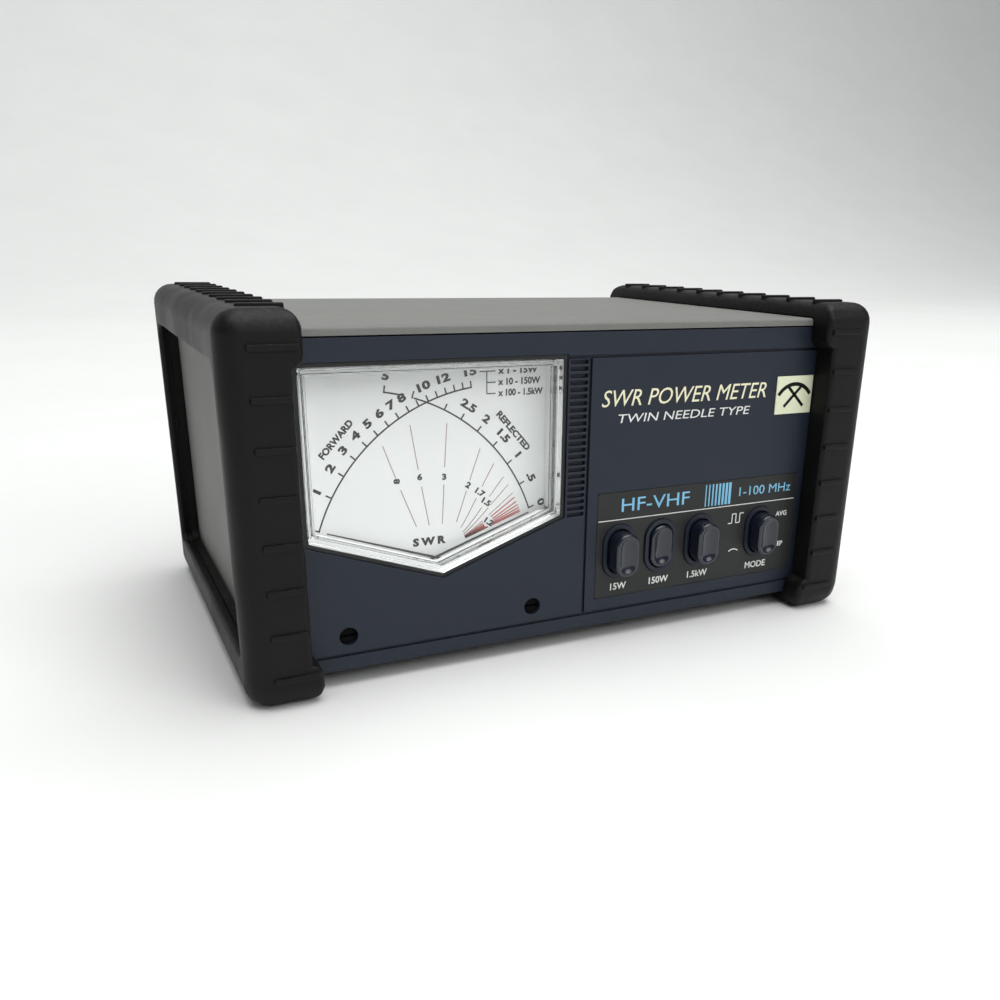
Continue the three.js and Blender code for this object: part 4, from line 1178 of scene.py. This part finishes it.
def buildSocketPin(word, look):  # split tube that grips the plug's pin
    low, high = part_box(word + "_socket_contact")
    x, z = middleXZ(low, high)
    pin = newRod(word + "_split_contact", look["pin"] * mm, (x, low.y, z), (x, high.y, z), 48)
    foot = high.y - look["pinBoreDeep"] * mm
    cutAway(pin, [newRod("bore", look["pinBore"] * mm, (x, foot, z), (x, high.y + mm, z), 40)])
    deep, slit, wide = look["slitDeep"] * mm, look["slit"] / 2 * mm, (look["pin"] + 1) * mm
    for across, up in ((wide, slit), (slit, wide)):
        cutAway(pin, [newBlock("slit", (x - across, high.y - deep, z - up),
                               (x + across, high.y + mm, z + up))])
    soften(pin, look["pinEdge"] * mm, 2, 50)
    shadeSoft(pin, 35)
    return pin


for word in ("transmitter", "antenna"):
    settle(buildSocketShell(word, socketLook), "case", finishes["nickel"], "plated_metal",
           word + "_socket_shell")
    settle(buildSocketPlug(word, socketLook), "case", finishes["whitePlastic"], "insulator_plastic",
           word + "_socket_insulator")
    settle(buildSocketPin(word, socketLook), "case", finishes["brass"], "contact_brass",
           word + "_socket_contact")

screwLook = {
    "shank": 1.4, "head": 2.7, "high": 1.6, "round": 0.9, "cross": 0.7, "crossLong": 3.0,
    "crossDeep": 0.8, "pitch": 0.5, "long": 6.5,
}


def buildScrew(look):  # pan head with a cross recess, its seat at the origin, pointing along Y
    top, end, shank = look["high"] * mm, -look["long"] * mm, look["shank"] * mm
    head = newRod("screw", look["head"] * mm, (0, 0, 0), (0, top, 0), 40)
    bevelEdges(head, liesAt(top), look["round"] * mm, 5)
    half, arm, foot = look["cross"] / 2 * mm, look["crossLong"] / 2 * mm, top - look["crossDeep"] * mm
    for across, up in ((arm, half), (half, arm)):
        cutAway(head, [newBlock("cross", (-across, foot, -up), (across, top + mm, up))])
    core = newRod("shank", shank * 0.86, (0, end, 0), (0, 0.2 * mm, 0), 24)
    pitch, start = look["pitch"] * mm, end + 0.3 * mm
    ridge = newRod("ridge", shank, (0, start, 0), (0, start + pitch * 0.9, 0), 24)
    soften(ridge, 0.17 * mm, 1, 60)
    repeatPiece(ridge, int(look["long"] / look["pitch"]) - 1, (0, pitch, 0))
    screw = joinAll("screw", [head, core, ridge])
    shadeSoft(screw, 35)
    return screw


screw = buildScrew(screwLook)
turns = (12, 55, 33, 71, 24, 80, 47, 5)  # each screw stops at its own angle
length = (screwLook["long"] + screwLook["high"]) * mm
for n, turn in enumerate(turns):
    word, corner = ("transmitter", "antenna")[n // 4], n % 4 + 1
    node = f"{word}_socket_screw_{corner}"
    low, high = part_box(node)
    placed = copyOf(screw, f"{word}_flange_screw_{corner}")
    placed.rotation_euler = (0, math.radians(turn), 0)
    placed.location = ((low.x + high.x) / 2, high.y - screwLook["high"] * mm, (low.z + high.z) / 2)
    fixPlace(placed)
    settle(placed, "case", finishes["nickel"], "plated_metal", node)
for side, way in (("left", 1), ("right", -1)):
    for end in ("front", "rear"):
        node = f"cover_screw_{side}_{end}"
        low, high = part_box(node)
        placed = copyOf(screw, f"{side}_{end}_cover_screw")
        placed.scale.y = (high.x - low.x) / length
        seat = way * screwLook["high"] * mm * placed.scale.y
        fixPlace(placed)
        placed.rotation_euler = (0, 0, way * math.pi / 2)
        outer = low.x if side == "left" else high.x
        placed.location = (outer + seat, (low.y + high.y) / 2, (low.z + high.z) / 2)
        fixPlace(placed)
        settle(placed, "case", finishes["nickel"], "plated_metal", node)
bpy.data.objects.remove(screw, do_unlink=True)

jackLook = {"bore": 2.8, "pin": 1.0, "collar": 0.5, "body": 4, "seat": 0.1, "pinSunk": 1.2, "pinRound": 0.3}


def buildJack(look):
    low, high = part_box("lamp_supply_jack")
    (x, z), radius = middleXZ(low, high), (high.x - low.x) / 2
    rim = newRod("rim", radius, (x, rearY + look["seat"] * mm, z), (x, high.y, z), 56)
    bevelEdges(rim, liesAt(high.y), look["collar"] * mm, 4)
    unite(rim, newRod("body", look["body"] * mm, (x, low.y, z), (x, high.y - mm, z), 40))
    cutAway(rim, [newRod("bore", look["bore"] * mm, (x, low.y + mm, z), (x, high.y + mm, z), 48)])
    tip = high.y - look["pinSunk"] * mm
    pin = newRod("pin", look["pin"] * mm, (x, low.y + 0.5 * mm, z), (x, tip, z), 24)
    soften(pin, look["pinRound"] * mm, 3, 60)
    jack = joinAll("supply_jack", [rim, pin])
    shadeSoft(jack, 35)
    return jack


settle(buildJack(jackLook), "case", finishes["blackPlastic"], "switch_plastic", "lamp_supply_jack")


rearLegends = (("transmitter_socket_shell", "TX", 4.6, 4.2), ("antenna_socket_shell", "ANT", 4.6, 4.2),
               ("lamp_supply_jack", "DC 12V", 3.4, 3.6))  # what it stands over, words, size, lift


def buildRearPrinting():
    words = []
    for node, text, size, lift in rearLegends:
        low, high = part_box(node)
        words.append(newWord(-rearY, text, -(low.x + high.x) / 2, high.z + lift * mm, size * mm,
                             heavy=0.02))
    rear = joinAll("rear_print", words)
    rear.rotation_euler.z = math.pi
    return fixPlace(rear)


settle(buildRearPrinting(), "case", finishes["whiteInk"], "chassis_paint")
print("rear built")


# CAD nodes that keep their shape get their finish here

keptNodes = {
    "chassis": "chassisPaint", "meter_housing": "blackPlastic", "dial_plate": "dialCard",
    "meter_lamp": "lampGlass", "switch_bracket": "nickel", "main_board": "laminate",
    "coupler_box": "nickel", "coupler_lid": "nickel", "coupler_board": "laminate",
    "coupler_line": "brass", "coupler_toroid": "ferrite",
}
for word in pivots:
    keptNodes["moving_coil_" + word] = "copperWire"
    keptNodes["magnet_" + word] = "steel"
    keptNodes["bearing_bridge_" + word] = "brass"
    # the zero adjusters are painted near-black as the shade of their bores
    keptNodes["zero_adjuster_" + word] = "holeShadeBlack"
for name in buttonNames:
    keptNodes["switch_body_" + name] = "blackPlastic"
for name, finish in keptNodes.items():
    node = frame["nodes"][name]
    node.data.materials.clear()
    node.data.materials.append(finishes[finish])
print("kept nodes finished:", len(keptNodes))


# Floor, backdrop and light

stageLook = {
    "floor": (240, 241, 239), "second": (237, 238, 236), "rough": 0.7, "grain": 300,
    "wide": 16, "depth": 3.6, "rise": 5, "sweep": 2.4,
}


def buildStage(look):
    pickNothing()
    wide, depth = look["wide"], look["depth"]
    bpy.ops.mesh.primitive_plane_add(size=1, location=(0, 0, 0))
    stage = bpy.context.object
    stage.name = "paper_sweep"
    stage.scale = (wide, 2 * depth, 1)
    fixPlace(stage)
    choose(stage, "EDGE", lambda e: middleOf(e).y > depth * 0.9)
    bpy.ops.mesh.extrude_region_move(TRANSFORM_OT_translate={"value": (0, 0, look["rise"])})
    done()
    bevelEdges(stage, lambda e: middleOf(e).y > depth * 0.9 and near(middleOf(e).z, 0), look["sweep"], 24)
    shadeSoft(stage, 60)
    material = bpy.data.materials.new("paper")
    material.use_nodes = True
    tree = material.node_tree
    place = addNode(tree, "ShaderNodeTexCoord").outputs["Object"]
    grain = addGroup(tree, "grain", Vector=place, Scale=look["grain"])
    colour = mixColour(tree, grain.outputs["Mottle"], toLinear(look["floor"]), toLinear(look["second"]))
    shader = tree.nodes["Principled BSDF"]
    tree.links.new(colour, shader.inputs["Base Color"])
    shader.inputs["Roughness"].default_value = look["rough"]
    stage.data.materials.append(material)


buildStage(stageLook)

lights = {
    "ceiling": {"at": (0.3, -0.25, 2.6), "size": (3.2, 2.2), "power": 81, "colour": (1, 1, 1)},
    "window_left": {"at": (-2.2, 0.9, 1.3), "size": (1.4, 1.2), "power": 2.2, "colour": (1, 0.99, 0.97)},
    "front_soft": {"at": (1.0, -1.9, 1.4), "size": (1.6, 1.2), "power": 17, "colour": (1, 1, 0.99)},
    "front_spark": {"at": (-0.2, -1.5, 1.0), "size": (0.08, 0.08), "power": 1.1, "colour": (1, 1, 1)},
    "backdrop": {"at": (2.4, 1.1, 2.7), "aim": (2.8, 3.4, 1.1), "size": (7, 1.6), "power": 31,
                 "colour": (1, 1, 1)},
}


def placeLights(looks):
    for name, look in looks.items():
        data = bpy.data.lights.new(name, "AREA")
        data.shape = "RECTANGLE"
        data.size, data.size_y = look["size"]
        data.energy = look["power"]
        data.color = look["colour"]
        light = bpy.data.objects.new(name, data)
        bpy.context.collection.objects.link(light)
        aim = Vector(look.get("aim", (0, 0, 0.04))) - Vector(look["at"])
        turn = aim.to_track_quat("-Z", "Y").to_matrix().to_4x4()
        light.matrix_world = Matrix.Translation(look["at"]) @ turn
    world = bpy.data.worlds.new("room")
    world.use_nodes = True
    back = world.node_tree.nodes["Background"]
    back.inputs["Color"].default_value = (0.92, 0.95, 1, 1)
    back.inputs["Strength"].default_value = 0.16
    bpy.context.scene.world = world


placeLights(lights)
bpy.context.scene.view_settings.view_transform = "Standard"
print("stage set")
